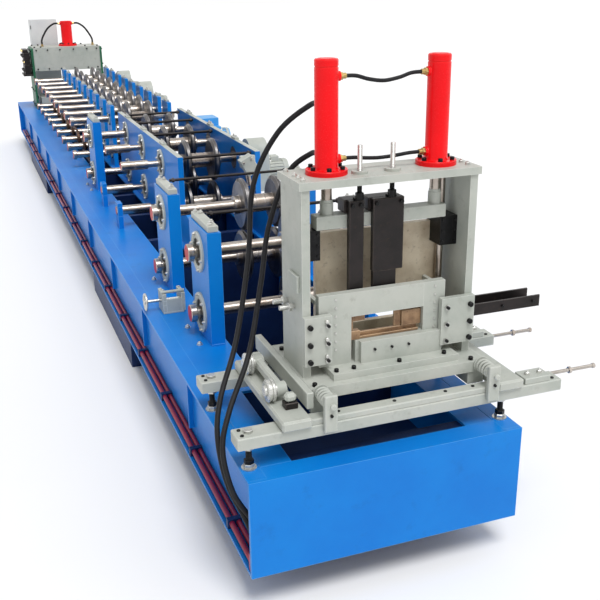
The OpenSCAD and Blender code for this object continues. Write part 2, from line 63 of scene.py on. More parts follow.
# %% Camera
FRONT = -3.95          # where the front end plate is, along the machine
camera_right = Vector((0.93596, -0.35191, -0.01158))
camera_down = Vector((-0.13106, -0.31769, -0.93909))
camera_forward = Vector((0.32680, 0.88047, -0.34347))
camera = bpy.data.objects.new("camera", bpy.data.cameras.new("camera"))
bpy.context.scene.collection.objects.link(camera)
turn = Matrix((camera_right, -camera_down, -camera_forward)).transposed().to_4x4()
camera.matrix_world = Matrix.Translation((-1.6619, -7.2163, 2.7984)) @ turn
camera.data.sensor_fit = "HORIZONTAL"
camera.data.sensor_width = 36.0
camera.data.lens = 53.67
camera.data.clip_end = 200.0
bpy.context.scene.camera = camera
print("camera at", [round(c, 3) for c in camera.matrix_world.translation])

# %% [markdown]
# ## Hoses
# A hydraulic hose is a flexible tube of one length between two fittings. A bevelled curve is the
# quickest tube, but its export depends on the curve's own settings, so here a ring of vertices is
# extruded from point to point with bmesh, and turned to face along the path each time.
# The few points of a route are listed, and a smooth curve between them gives the rest.

# %% Smooth routes
def along(route, steps=8):
    """Points of a smooth curve through a route given in millimetres from the front end plate."""
    p = [Vector((x / 1000, FRONT + y / 1000, z / 1000)) for x, y, z in route]
    out = []
    for i in range(len(p) - 1):
        a, b, c, d = p[max(i - 1, 0)], p[i], p[i + 1], p[min(i + 2, len(p) - 1)]
        for j in range(steps):
            t = j / steps
            out.append((2 * b + (c - a) * t + (2 * a - 5 * b + 4 * c - d) * t * t
                        + (3 * b - a - 3 * c + d) * t ** 3) / 2)
    return out + [p[-1]]


def length_of(points):
    """Length of a row of points, one after the other."""
    return sum((b - a).length for a, b in zip(points, points[1:]))

# %% A tube swept along points
def tube(bm, points, radius, sides=12):
    """Extrudes a ring of vertices along the points and closes both ends."""
    first = (points[1] - points[0]).normalized()
    helper = Vector((0, 0, 1)) if abs(first.z) < 0.9 else Vector((1, 0, 0))
    side = first.cross(helper).normalized()
    ring = bmesh.ops.create_circle(bm, cap_ends=False, radius=radius, segments=sides)["verts"]
    edges = list({e for v in ring for e in v.link_edges})
    place = Matrix((side, first.cross(side), first)).transposed().to_4x4()
    bmesh.ops.transform(bm, matrix=Matrix.Translation(points[0]) @ place, verts=ring)
    bmesh.ops.contextual_create(bm, geom=edges)
    last = first
    for i in range(1, len(points)):
        ahead = points[min(i + 1, len(points) - 1)] - points[i - 1]
        now = ahead.normalized()
        made = bmesh.ops.extrude_edge_only(bm, edges=edges)["geom"]
        ring = [g for g in made if isinstance(g, bmesh.types.BMVert)]
        edges = [g for g in made if isinstance(g, bmesh.types.BMEdge)]
        swing = last.rotation_difference(now).to_matrix().to_4x4()
        move = Matrix.Translation(points[i]) @ swing @ Matrix.Translation(-points[i - 1])
        bmesh.ops.transform(bm, matrix=move, verts=ring)
        last = now
    bmesh.ops.contextual_create(bm, geom=edges)
    return bm

# %% [markdown]
# ## Making a piece
# Every new piece ends the same way: the bmesh becomes a mesh, faces point outwards, shallow
# angles are shaded smooth and steep ones stay crisp. The piece then rides on a body of the machine.

# %% Finish a piece
def piece(name, bm, finish, body="root", replaces=(), crisp=32, outward=True):
    """Turns a bmesh into an object with its finish, riding on a body."""
    if outward:
        bmesh.ops.remove_doubles(bm, verts=bm.verts, dist=1e-6)
        bmesh.ops.recalc_face_normals(bm, faces=bm.faces)
    mesh = bpy.data.meshes.new(name)
    bm.to_mesh(mesh)
    bm.free()
    mesh.shade_smooth()
    mesh.set_sharp_from_angle(angle=radians(crisp))
    made = bpy.data.objects.new(name, mesh)
    bpy.context.scene.collection.objects.link(made)
    for one in finish if isinstance(finish, (list, tuple)) else [finish]:
        mesh.materials.append(one)
    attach(made, body)
    if replaces:
        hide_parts(*replaces)
    print(f"{name}: {len(mesh.polygons)} faces")
    return made

# %% [markdown]
# ## Finishes
# Paint, bare steel and rubber all start from one Principled shader. What makes them real is
# variation: large soft patches change the colour a little, fine grain changes the roughness and
# the bump, and edges show lighter, partly as rubbed wear and partly as a painted highlight. The
# Bevel node finds edges without any extra geometry: where its rounded normal leaves the true one, an edge is near.

# %% Colours and node helpers
def shown(r, g, b):
    """A colour as seen on a screen, made linear for the shader."""
    return tuple(((c + 0.055) / 1.055) ** 2.4 if c > 0.04 else c / 12.92 for c in (r, g, b)) + (1.0,)


def add(tree, kind, **values):
    """Adds a node and sets its properties and sockets by name."""
    node = tree.nodes.new(kind)
    for key, value in values.items():
        if hasattr(node, key):
            setattr(node, key, value)
        else:
            node.inputs[key.replace("_", " ")].default_value = value
    return node


def stretch(tree, source, low, high, to_low=0.0, to_high=1.0):
    """Maps a value from one range to another and clamps it."""
    node = add(tree, "ShaderNodeMapRange", clamp=True)
    for key, value in zip(("From Min", "From Max", "To Min", "To Max"), (low, high, to_low, to_high)):
        node.inputs[key].default_value = value
    tree.links.new(source, node.inputs["Value"])
    return node.outputs["Result"]


def blend_colour(tree, factor, first, second):
    """Mixes two colours, each a socket or a plain colour."""
    node = add(tree, "ShaderNodeMix", data_type="RGBA")
    tree.links.new(factor, node.inputs["Factor"])
    for socket, value in ((node.inputs[6], first), (node.inputs[7], second)):
        if isinstance(value, tuple):
            socket.default_value = value
        else:
            tree.links.new(value, socket)
    return node.outputs[2]

# %% One recipe for painted and bare metal
def metal_finish(name, colour, patch, edge=None, dirt=None, metallic=0.0, rough=(0.3, 0.45),
                 patch_scale=3.0, grain=220.0, bump=0.15, edge_width=0.004, edge_amount=0.7,
                 dirt_amount=0.5, streak=None):
    """A surface with soft patches, grain, dirt and lighter edges that are partly rubbed wear, partly painted
    highlight.
    """
    material = bpy.data.materials.new(name)
    material.use_nodes = True
    tree = material.node_tree
    shader = tree.nodes["Principled BSDF"]
    place = add(tree, "ShaderNodeTexCoord").outputs["Object"]
    soft = add(tree, "ShaderNodeTexNoise", Scale=patch_scale, Detail=5.0, Roughness=0.6)
    fine = add(tree, "ShaderNodeTexNoise", Scale=grain, Detail=3.0, Roughness=0.55)
    for noise in (soft, fine):
        tree.links.new(place, noise.inputs["Vector"])
    if streak:
        mapping = add(tree, "ShaderNodeMapping")
        mapping.inputs["Scale"].default_value = streak
        tree.links.new(place, mapping.inputs["Vector"])
        tree.links.new(mapping.outputs["Vector"], fine.inputs["Vector"])
    mixed = blend_colour(tree, stretch(tree, soft.outputs["Fac"], 0.38, 0.66), shown(*colour), shown(*patch))
    if dirt:
        spots = add(tree, "ShaderNodeTexNoise", Scale=patch_scale * 4.3, Detail=8.0, Roughness=0.72)
        tree.links.new(place, spots.inputs["Vector"])
        mixed = blend_colour(tree, stretch(tree, spots.outputs["Fac"], 0.56, 0.74, 0.0, dirt_amount),
                             mixed, shown(*dirt))
    # Lighter edges: partly rubbed wear, partly a painted highlight along every corner.
    if edge:
        rounded = add(tree, "ShaderNodeBevel", samples=4, Radius=edge_width)
        flat = add(tree, "ShaderNodeNewGeometry")
        dot = add(tree, "ShaderNodeVectorMath", operation="DOT_PRODUCT")
        tree.links.new(rounded.outputs["Normal"], dot.inputs[0])
        tree.links.new(flat.outputs["Normal"], dot.inputs[1])
        near = stretch(tree, dot.outputs["Value"], 0.995, 0.93, 0.0, edge_amount)
        edge_wear_and_highlight = add(tree, "ShaderNodeMath", operation="MULTIPLY")
        tree.links.new(near, edge_wear_and_highlight.inputs[0])
        tree.links.new(stretch(tree, soft.outputs["Fac"], 0.3, 0.6, 0.35, 1.0), edge_wear_and_highlight.inputs[1])
        mixed = blend_colour(tree, edge_wear_and_highlight.outputs["Value"], mixed, shown(*edge))
    tree.links.new(mixed, shader.inputs["Base Color"])
    tree.links.new(stretch(tree, fine.outputs["Fac"], 0.3, 0.7, *rough), shader.inputs["Roughness"])
    shader.inputs["Metallic"].default_value = metallic
    shader.inputs["Specular IOR Level"].default_value = 0.5 if metallic else 0.22
    relief = add(tree, "ShaderNodeBump", Strength=bump, Distance=0.002)
    tree.links.new(fine.outputs["Fac"], relief.inputs["Height"])
    tree.links.new(relief.outputs["Normal"], shader.inputs["Normal"])
    return material

# %% The finishes of this machine
finishes = {
    "blue_paint": metal_finish("blue_paint", (0.03, 0.50, 0.84), (0.02, 0.46, 0.81), edge=(0.45, 0.72, 0.92),
                               dirt=(0.05, 0.33, 0.62), rough=(0.26, 0.42), patch_scale=1.7, dirt_amount=0.35),
    # navy_paint is the blue paint darkened as painted shade, for faces that lie in shade.
    "navy_paint": metal_finish("navy_paint", (0.10, 0.20, 0.38), (0.07, 0.14, 0.30), edge=(0.2, 0.35, 0.55),
                               dirt=(0.05, 0.07, 0.12), rough=(0.35, 0.55), patch_scale=2.0),
    "grey_paint": metal_finish("grey_paint", (0.73, 0.74, 0.71), (0.67, 0.69, 0.66), edge=(0.90, 0.91, 0.89),
                               dirt=(0.50, 0.50, 0.46), rough=(0.32, 0.5), patch_scale=4.0, dirt_amount=0.4),
    "red_paint": metal_finish("red_paint", (0.95, 0.04, 0.08), (0.90, 0.03, 0.07), edge=(0.95, 0.35, 0.33),
                              rough=(0.18, 0.3), patch_scale=3.0, edge_amount=0.4),
    "bright_steel": metal_finish("bright_steel", (0.72, 0.69, 0.66), (0.60, 0.55, 0.51), edge=(0.85, 0.84, 0.82),
                                 dirt=(0.36, 0.28, 0.22), metallic=1.0, rough=(0.18, 0.36), patch_scale=6.0,
                                 streak=(900.0, 12.0, 12.0), bump=0.08),
    "roll_steel": metal_finish("roll_steel", (0.46, 0.45, 0.45), (0.36, 0.35, 0.35), edge=(0.75, 0.74, 0.73),
                               dirt=(0.20, 0.17, 0.15), metallic=1.0, rough=(0.24, 0.42), patch_scale=8.0,
                               streak=(900.0, 12.0, 12.0), bump=0.08),
    "black_steel": metal_finish("black_steel", (0.13, 0.12, 0.12), (0.17, 0.15, 0.15), edge=(0.42, 0.38, 0.36),
                                dirt=(0.26, 0.20, 0.16), metallic=0.6, rough=(0.34, 0.52), patch_scale=9.0),
    "sky_blue_paint": metal_finish("sky_blue_paint", (0.32, 0.66, 0.90), (0.25, 0.60, 0.86), edge=(0.7, 0.86, 0.95),
                                   rough=(0.25, 0.4), patch_scale=3.0),
    "chain_steel": metal_finish("chain_steel", (0.34, 0.24, 0.18), (0.22, 0.15, 0.12), edge=(0.55, 0.42, 0.33),
                                dirt=(0.10, 0.07, 0.06), metallic=0.7, rough=(0.35, 0.6), patch_scale=14.0),
    "green_paint": metal_finish("green_paint", (0.16, 0.40, 0.28), (0.12, 0.34, 0.24), edge=(0.45, 0.6, 0.5),
                                dirt=(0.1, 0.2, 0.15), rough=(0.35, 0.5), patch_scale=3.0),
    "cabinet_paint": metal_finish("cabinet_paint", (0.86, 0.87, 0.87), (0.82, 0.83, 0.84), edge=(0.6, 0.62, 0.63),
                                  rough=(0.35, 0.5), patch_scale=3.0, edge_amount=0.5),
    "raw_steel": metal_finish("raw_steel", (0.83, 0.78, 0.69), (0.72, 0.65, 0.55), edge=(0.8, 0.77, 0.72),
                              dirt=(0.34, 0.25, 0.19), metallic=0.15, rough=(0.35, 0.6), patch_scale=7.0,
                              dirt_amount=0.7),
    "hose_rubber": metal_finish("hose_rubber", (0.09, 0.09, 0.10), (0.12, 0.12, 0.13), rough=(0.42, 0.6),
                                patch_scale=20.0, grain=600.0, bump=0.3),
}
brass = metal_finish("brass_fittings", (0.72, 0.62, 0.40), (0.60, 0.50, 0.32), edge=(0.85, 0.78, 0.6),
                     metallic=1.0, rough=(0.25, 0.45), patch_scale=25.0)
zinc = metal_finish("zinc_bolts", (0.82, 0.82, 0.80), (0.70, 0.70, 0.69), edge=(0.95, 0.95, 0.94),
                    metallic=0.9, rough=(0.25, 0.42), patch_scale=30.0, edge_width=0.0015)
black_oxide = metal_finish("black_bolts", (0.07, 0.07, 0.075), (0.11, 0.11, 0.115), edge=(0.3, 0.3, 0.3),
                           metallic=0.7, rough=(0.3, 0.5), patch_scale=40.0, edge_width=0.0015)
end_red = metal_finish("end_marking_red", (0.78, 0.09, 0.13), (0.66, 0.07, 0.11), rough=(0.3, 0.5),
                       patch_scale=30.0)
line_red = metal_finish("line_red", (0.62, 0.13, 0.24), (0.50, 0.12, 0.28), edge=(0.80, 0.45, 0.50),
                        dirt=(0.30, 0.10, 0.22), rough=(0.22, 0.38), patch_scale=1.2)
# A navy sheet for the beam webs: painted shade of the recess, not a paint of the machine.
painted_shade_navy = metal_finish("painted_recess_shade", (0.22, 0.25, 0.50), (0.17, 0.20, 0.44), dirt=(0.10, 0.11, 0.25),
                          rough=(0.35, 0.55), patch_scale=2.2)
print(len(finishes) + 6, "finishes")

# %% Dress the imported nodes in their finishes
slot_of = {s["node"]: s["material_slot"] for s in frame["record"]["subparts"]}
for name, node in frame["nodes"].items():
    node.data.materials.clear()
    node.data.materials.append(finishes[slot_of[name]])
frame["nodes"]["hydraulic_pipes"].data.materials[0] = line_red
# The clamps in the beam recess take the navy as painted shade.
frame["nodes"]["pipe_clamps"].data.materials[0] = finishes["navy_paint"]
print(len(slot_of), "nodes dressed")

# %% The two long hoses and the four short ones
hose_routes = {
    "left_hose": (0.026, [(-145, 549, 2230), (-150, 640, 2225), (-280, 735, 2090), (-400, 755, 1850),
                          (-455, 700, 1500), (-570, 560, 1150), (-705, 400, 930), (-752, 300, 780),
                          (-742, 200, 600), (-695, 95, 470), (-672, 44, 390), (-672, 42, 302)]),
    "second_hose": (0.026, [(-145, 549, 2010), (-155, 630, 2000), (-250, 690, 1900), (-350, 690, 1650),
                            (-415, 630, 1400), (-530, 490, 1100), (-680, 330, 905), (-748, 235, 760),
                            (-735, 140, 590), (-672, 70, 470), (-641, 46, 390), (-641, 42, 302)]),
    "upper_link_hose": (0.018, [(-51, 455, 2370), (0, 455, 2367), (60, 455, 2350), (135, 455, 2340),
                                (210, 455, 2350), (270, 455, 2367), (321, 455, 2370)]),
    "lower_link_hose": (0.018, [(-51, 455, 2004), (0, 458, 2002), (60, 475, 1992), (135, 485, 1986),
                                (210, 475, 1992), (270, 458, 2002), (321, 455, 2004)]),
    "punch_hose_left": (0.030, [(40, 12800, 2050), (-30, 12800, 2046), (-130, 12795, 1980),
                                (-210, 12788, 1870), (-248, 12781, 1790), (-250, 12780, 1730)]),
    "punch_hose_right": (0.030, [(300, 12800, 2050), (370, 12800, 2046), (465, 12795, 1980),
                                 (540, 12788, 1870), (578, 12781, 1790), (580, 12780, 1730)]),
}
for name, (wide, route) in hose_routes.items():
    points = along(route)
    hose = piece(name + "_tube", tube(bmesh.new(), points, wide / 2), finishes["hose_rubber"],
                 replaces=[name])
    print(name, round(length_of(points), 3), "m")

# %% [markdown]
# ## Small helpers for machine parts
# Nearly everything on this machine is turned, sawn from bar, or bolted on. Three helpers cover
# that: a lathe that spins a profile round an axis, a bar with rubbed corners, and bolt heads. A
# primitive cube with a bevel is enough for a bar, because real bars are just that.

# %% Places and directions
RIGHT, BACK, UP = Vector((1, 0, 0)), Vector((0, 1, 0)), Vector((0, 0, 1))


def at(x, y, z):
    """A point given in millimetres from the front end plate."""
    return Vector((x / 1000, FRONT + y / 1000, z / 1000))


def facing(direction):
    """The turn that takes local Z to a direction."""
    return UP.rotation_difference(Vector(direction)).to_matrix().to_4x4()


def middle(node):
    """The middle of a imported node's box."""
    low, high = (Vector(corner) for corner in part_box(node))
    return (low + high) / 2

# %% Lathe, bar and plate
def lathe(bm, profile, place, axis=UP, sides=40, slots=()):
    """Spins (distance along, radius) pairs round an axis; slots give (from radius, material)."""
    verts = [bm.verts.new((radius, 0, along)) for along, radius in profile]
    edges = [bm.edges.new(pair) for pair in zip(verts, verts[1:])]
    before = set(bm.faces)
    bmesh.ops.spin(bm, geom=verts + edges, cent=(0, 0, 0), axis=(0, 0, 1), angle=2 * pi, steps=sides,
                   use_merge=True, use_duplicate=False)
    faces = [f for f in bm.faces if f not in before]
    for face in faces:
        reach = face.calc_center_median().to_2d().length
        for from_radius, index in slots:
            if reach > from_radius:
                face.material_index = index
    made = list({v for f in faces for v in f.verts})
    bmesh.ops.transform(bm, matrix=Matrix.Translation(place) @ facing(axis), verts=made)
    return faces


def bar(bm, low, high, rub=0.0015, index=0):
    """A bar or plate between two corners in millimetres, with its edges rubbed round."""
    a, b = at(*low), at(*high)
    made = bmesh.ops.create_cube(bm, size=1.0)["verts"]
    grow = Matrix.Diagonal((b.x - a.x, b.y - a.y, b.z - a.z, 1.0))
    bmesh.ops.transform(bm, matrix=Matrix.Translation((a + b) / 2) @ grow, verts=made)
    edges = list({e for v in made for e in v.link_edges})
    faces = list({f for v in made for f in v.link_faces})
    for face in faces:
        face.material_index = index
    if rub:
        done = bmesh.ops.bevel(bm, geom=edges, offset=rub, affect="EDGES", segments=1, profile=0.5,
                               material=-1)
        for face in done["faces"]:
            face.material_index = index


def stub(bm, place, direction, radius, height, sides=16, rub=0.0, index=0):
    """A round or many-sided stub standing on a surface."""
    made = bmesh.ops.create_cone(bm, cap_ends=True, segments=sides, radius1=radius, radius2=radius,
                                 depth=height)["verts"]
    bmesh.ops.translate(bm, vec=(0, 0, height / 2), verts=made)
    faces = list({f for v in made for f in v.link_faces})
    top = [e for f in faces if len(f.verts) > 4 and f.calc_center_median().z > height * 0.9 for e in f.edges]
    if rub and top:
        bevelled = bmesh.ops.bevel(bm, geom=top, offset=rub, affect="EDGES", segments=1, profile=0.5,
                                   material=-1)
        made = list({v for v in made if v.is_valid} | set(bevelled["verts"]))
    for face in {f for v in made for f in v.link_faces}:
        face.material_index = index
    bmesh.ops.transform(bm, matrix=Matrix.Translation(place) @ facing(direction), verts=made)

# %% Bolts
def socket_bolt(bm, place, direction, size, index=0):
    """A socket-head bolt: a short cylinder with a sunk hexagon."""
    stub(bm, place, direction, size * 0.75, size, sides=14, rub=size * 0.1, index=index)
    stub(bm, place + Vector(direction) * size, direction, size * 0.42, size * 0.03, sides=6, index=index)


def hex_bolt(bm, place, direction, size, index=0, end=0.4):
    """A washer, a hexagon and the end of its stud."""
    way = Vector(direction)
    stub(bm, place, direction, size * 1.05, size * 0.16, sides=16, index=index)
    stub(bm, place + way * size * 0.16, direction, size * 0.86, size * 0.62, sides=6, rub=size * 0.1,
         index=index)
    if end:
        stub(bm, place + way * size * 0.78, direction, size * 0.46, size * end, sides=10,
             rub=size * 0.08, index=index)


def bolt_ring(bm, centre, axis, radius, count, size, kind=hex_bolt, start=0.0, index=0):
    """Bolts evenly round a circle."""
    turn = facing(axis)
    for k in range(count):
        angle = start + 2 * pi * k / count
        kind(bm, Vector(centre) + turn @ Vector((radius * cos(angle), radius * sin(angle), 0)), axis,
             size, index)


def threaded(bm, place, direction, radius, length, pitch=0.004, index=0):
    """A rod whose thread is a row of shallow ridges."""
    turns = max(2, int(length / pitch))
    profile = [(0.0, 0.0)]
    for k in range(turns):
        profile += [(k * length / turns, radius * 0.9), ((k + 0.5) * length / turns, radius)]
    profile += [(length, radius * 0.9), (length, 0.0)]
    for face in lathe(bm, profile, place, direction, sides=12):
        face.material_index = index
print("helpers ready")

# %% [markdown]
# ## Shafts and rolls
# Each shaft was turned from one bar: a nut or a plain end on the left, then ground steel, and two
# dark hardened rolls between collars. One lathe profile holds all of it, and the radius of a
# face decides its steel: what lies far from the axis is a roll. The left end faces are painted
# red, as workshops mark them. Each piece rides on its own turning body.

# %% The turned shafts
roll_finish = [finishes["bright_steel"], finishes["roll_steel"], end_red]
ROLL = 0.188


def shaft_profile(left, right, neck=None):
    """Profile of a shaft from its left to its right end, measured along X."""
    if neck:
        head = [(left, 0.0), (left, 0.034), (left + 0.006, 0.040), (left + 0.11, 0.040), (left + 0.112, 0.038),
                (left + 0.118, 0.038), (left + 0.12, 0.040), (neck, 0.040), (neck, 0.027), (-0.092, 0.027),
                (-0.09, 0.0375)]
    else:
        head = [(left, 0.0), (left, 0.050), (left + 0.004, 0.054), (left + 0.036, 0.054),
                (left + 0.04, 0.050), (left + 0.04, 0.0375)]
    rolls = [(0.08, 0.0375), (0.08, 0.062), (0.083, 0.065), (0.119, 0.065)]
    for a, b in ((0.12, 0.17), (0.37, 0.42)):
        rolls += [(a, 0.07), (a, ROLL - 0.022), (a + 0.004, ROLL - 0.018), (a + 0.012, ROLL - 0.003),
                  (a + 0.015, ROLL), (b - 0.015, ROLL), (b - 0.012, ROLL - 0.003), (b - 0.004, ROLL - 0.018),
                  (b, ROLL - 0.022), (b, 0.07), (b + 0.001, 0.065)]
        if a < 0.3:
            rolls += [(0.23, 0.065), (0.232, 0.060), (0.24, 0.060), (0.242, 0.065), (0.30, 0.065),
                      (0.302, 0.060), (0.31, 0.060), (0.312, 0.065), (0.369, 0.065)]
    return head + rolls + [(0.457, 0.065), (0.46, 0.062), (0.46, 0.0375), (right - 0.003, 0.0375),
                           (right, 0.0345), (right, 0.0)]


def red_end(faces, left):
    """Paints the flat left end of a shaft red."""
    for face in faces:
        if face.is_valid and face.calc_center_median().x < left + 0.001:
            face.material_index = 2


for side in ("lower", "upper"):
    for k in range(1, 6):
        node = f"{side}_roll_{k}"
        low, high = (Vector(corner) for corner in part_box(node))
        bm = bmesh.new()
        left, neck = (-0.430, -0.195) if k in (3, 4) else (low.x, None)
        if k in (3, 4) and side == "lower":
            left = -0.500
        axle = Vector((0, (low.y + high.y) / 2, (low.z + high.z) / 2))
        faces = lathe(bm, shaft_profile(left, high.x, neck), axle, RIGHT, sides=44, slots=((0.068, 1),))
        red_end(faces, left)
        piece(f"{side}_shaft_{k}", bm, roll_finish, body=node, replaces=[node])

# %% The fixed shafts of the far stations
low, high = (Vector(corner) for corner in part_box("far_rolls"))
far_count = 9
far_y = [low.y + ROLL + k * (high.y - low.y - 2 * ROLL) / (far_count - 1) for k in range(far_count)]
shaft_heights = (middle("lower_roll_1").z, middle("upper_roll_1").z)
for name, height in zip(("lower_far_shafts", "upper_far_shafts"), shaft_heights):
    bm = bmesh.new()
    for y in far_y:
        faces = lathe(bm, shaft_profile(low.x, high.x), Vector((0, y, height)), RIGHT, sides=32,
                      slots=((0.068, 1),))
        red_end(faces, low.x)
    piece(name, bm, roll_finish, replaces=["far_rolls"])
print("shafts turned:", 10 + 2 * far_count)

# %% [markdown]
# ## The cutter's cylinders
# Two red hydraulic cylinders stand on the portal. A cylinder is a turned tube on a bolted flange,
# with a groove under its cap. The bore is part of the profile, because the piston rod moves in it.
# The ports are brass fittings: a hexagon and a round collar where each pipe or hose starts.

# %% Cylinders with their flanges
TOP = 1940             # upper face of the portal in millimetres
CYLINDER_X, CYLINDER_Y = (-145, 415), 455
cylinder_profile = [(0.306, 0.0), (0.306, 0.027), (0.0, 0.027), (0.0, 0.0975), (0.021, 0.0975),
                    (0.024, 0.0945), (0.024, 0.060), (0.034, 0.054), (0.470, 0.054), (0.472, 0.0515),
                    (0.476, 0.0515), (0.478, 0.054), (0.503, 0.054), (0.508, 0.049), (0.508, 0.040),
                    (0.510, 0.038), (0.510, 0.0)]
bm = bmesh.new()
for x in CYLINDER_X:
    lathe(bm, cylinder_profile, at(x, CYLINDER_Y, TOP), UP, sides=64)
    for z in (2004, 2370):
        stub(bm, at(x + (50 if x < 0 else -50), CYLINDER_Y, z), RIGHT if x < 0 else -RIGHT, 0.022, 0.014)
for z in (2010, 2230):
    stub(bm, at(CYLINDER_X[0], CYLINDER_Y + 50, z), BACK, 0.026, 0.016)
piece("cutter_cylinder_tubes", bm, finishes["red_paint"], replaces=["cutter_cylinders"])

# %% Flange bolts and brass ports
bm = bmesh.new()
for x in CYLINDER_X:
    bolt_ring(bm, at(x, CYLINDER_Y, TOP + 24), UP, 0.078, 6, 0.015, kind=socket_bolt, start=0.3)
piece("flange_bolts", bm, black_oxide)
bm = bmesh.new()
for x, y in ((-300, 345), (-300, 400), (-300, 455), (-300, 570), (545, 380), (545, 440), (545, 570)):
    hex_bolt(bm, at(x, y, TOP), UP, 0.014)
piece("portal_bolts", bm, zinc)
bm = bmesh.new()
for x, way in ((CYLINDER_X[0], 1), (CYLINDER_X[1], -1)):
    for z in (2004, 2370):
        stub(bm, at(x + way * 62, CYLINDER_Y, z), RIGHT * way, 0.019, 0.014, sides=6, rub=0.001)
        stub(bm, at(x + way * 75, CYLINDER_Y, z), RIGHT * way, 0.013, 0.019, sides=18, rub=0.001)
for z in (2010, 2230):
    stub(bm, at(CYLINDER_X[0], CYLINDER_Y + 64, z), BACK, 0.021, 0.016, sides=6, rub=0.001)
    stub(bm, at(CYLINDER_X[0], CYLINDER_Y + 79, z), BACK, 0.0165, 0.015, sides=18, rub=0.001)
piece("cylinder_ports", bm, brass)

# %% [markdown]
# ## The moving crosshead and its tools
# A beam hangs on the two piston rods and slides on two posts. The blades hang in front of it, each
# from a black head with a castle nut. Two long studs go up through the portal and show how far
# the tool is set. All of this moves together, so it rides on the body of the ram.

# %% Beam, rods and guide blocks
BEAM_Y = (415, 495)
POST_X, POST_Y = (-235, 485), 515
bm = bmesh.new()
bar(bm, (POST_X[0] + 25, BEAM_Y[0], 1686), (POST_X[1] - 25, BEAM_Y[1] - 2, 1750), rub=0.003)
for x in CYLINDER_X:
    lathe(bm, [(0, 0), (0, 0.031), (0.056, 0.031), (0.06, 0.0275), (0.07, 0.0275), (0.07, 0)],
          at(x, CYLINDER_Y, 1750), UP, sides=32)
piece("crosshead_beam", bm, finishes["grey_paint"], body="cutter_ram", replaces=["crosshead"])
bm = bmesh.new()
for x in CYLINDER_X:
    lathe(bm, [(0, 0), (0, 0.025), (0.348, 0.025), (0.35, 0.023), (0.35, 0)], at(x, CYLINDER_Y, 1820),
          UP, sides=32)
piece("piston_rods", bm, finishes["bright_steel"], body="cutter_ram", replaces=["crosshead"])
bm = bmesh.new()
for x in POST_X:
    for a, b in (((x - 46, POST_Y - 90, 1540), (x - 20.6, POST_Y + 51, 1685)),
                 ((x + 20.6, POST_Y - 90, 1540), (x + 46, POST_Y + 51, 1685)),
                 ((x - 20.6, POST_Y - 90, 1540), (x + 20.6, POST_Y - 20.6, 1685)),
                 ((x - 20.6, POST_Y + 20.6, 1540), (x + 20.6, POST_Y + 51, 1685))):
        bar(bm, a, b, rub=0.0)
    for dx in (-34, 34):
        for z in (1560, 1612, 1664):
            socket_bolt(bm, at(x + dx, POST_Y - 90, z), -BACK, 0.007)
piece("guide_blocks", bm, black_oxide, body="cutter_ram", replaces=["crosshead"])

# %% The two tools
TOOL_Y = (382, 413)
STUD_X, STUD_Y = (-5, 160), 398
TOOLS = ((-61, 13), (60, 218))
bm = bmesh.new()
bar(bm, (TOOLS[0][0], TOOL_Y[0], 1290), (TOOLS[0][1], TOOL_Y[1], 1818), rub=0.003)
bar(bm, (TOOLS[1][0], TOOL_Y[0], 1466), (TOOLS[1][1], TOOL_Y[1], 1818), rub=0.003)
bar(bm, (TOOLS[1][0] + 4, TOOL_Y[0] + 2, 1290), (TOOLS[1][1] - 34, TOOL_Y[1] - 2, 1467), rub=0.002)
for left, right in TOOLS:
    bar(bm, (left - 14, TOOL_Y[1] - 1, 1756), (right, 492, 1818), rub=0.004)
piece("tool_blades", bm, finishes["black_steel"], body="cutter_ram", replaces=["cutter_tools"])
bm = bmesh.new()
for left, right in TOOLS:
    for x in (left + 16, right - 16):
        socket_bolt(bm, at(x, TOOL_Y[0], 1796), -BACK, 0.013)
for x in STUD_X:
    for dx, dy in ((-22, -8), (22, -8), (-22, 26), (22, 26)):
        socket_bolt(bm, at(x + dx * 0.8, STUD_Y + dy * 0.4 + 6, 1818), UP, 0.010)
    stub(bm, at(x, STUD_Y, 1818), UP, 0.020, 0.034, sides=6, rub=0.002)
    threaded(bm, at(x, STUD_Y, 1852), UP, 0.012, 0.09)
piece("tool_bolts", bm, black_oxide, body="cutter_ram")
bm = bmesh.new()
for x in STUD_X:
    threaded(bm, at(x, STUD_Y, 1942), UP, 0.012, 0.128)
piece("tool_studs", bm, zinc, body="cutter_ram", replaces=["cutter_tools"])

# %% [markdown]
# ## Die plate, guards and back plate
# The strip passes through a window in the die plate and another in the plate behind it. Flat bars
# laid edge to edge round the window make each plate, and their coplanar faces read as one. Then
# come the fasteners: socket bolts on the guards, and rows of small screws.

# %% Die plate and back plate
GUARD_Y, PLATE_Y = 290, 330
WINDOW = (-70, 310, 1150, 1275)


def framed_plate(bm, left, right, low, high, front, back, window, slot=0):
    """A plate with a window, and a slot under the window's left end."""
    w0, w1, z0, z1 = window
    bar(bm, (left, front, low), (w0, back, high), rub=0.0)
    bar(bm, (w1, front, low), (right, back, high), rub=0.0)
    bar(bm, (w0, front, z1), (w1, back, high), rub=0.0)
    bar(bm, (w0 + slot, front, low), (w1, back, z0), rub=0.0)


bm = bmesh.new()
framed_plate(bm, -235, 425, 1040, 1396, PLATE_Y, 370, WINDOW, slot=22)
piece("windowed_die_plate", bm, finishes["grey_paint"], replaces=["die_plate"])
bm = bmesh.new()
framed_plate(bm, -172, 492, 1040, 1642, 530, 560, (-70, 310, 1160, 1320))
piece("windowed_back_plate", bm, finishes["raw_steel"], replaces=["back_plate"])

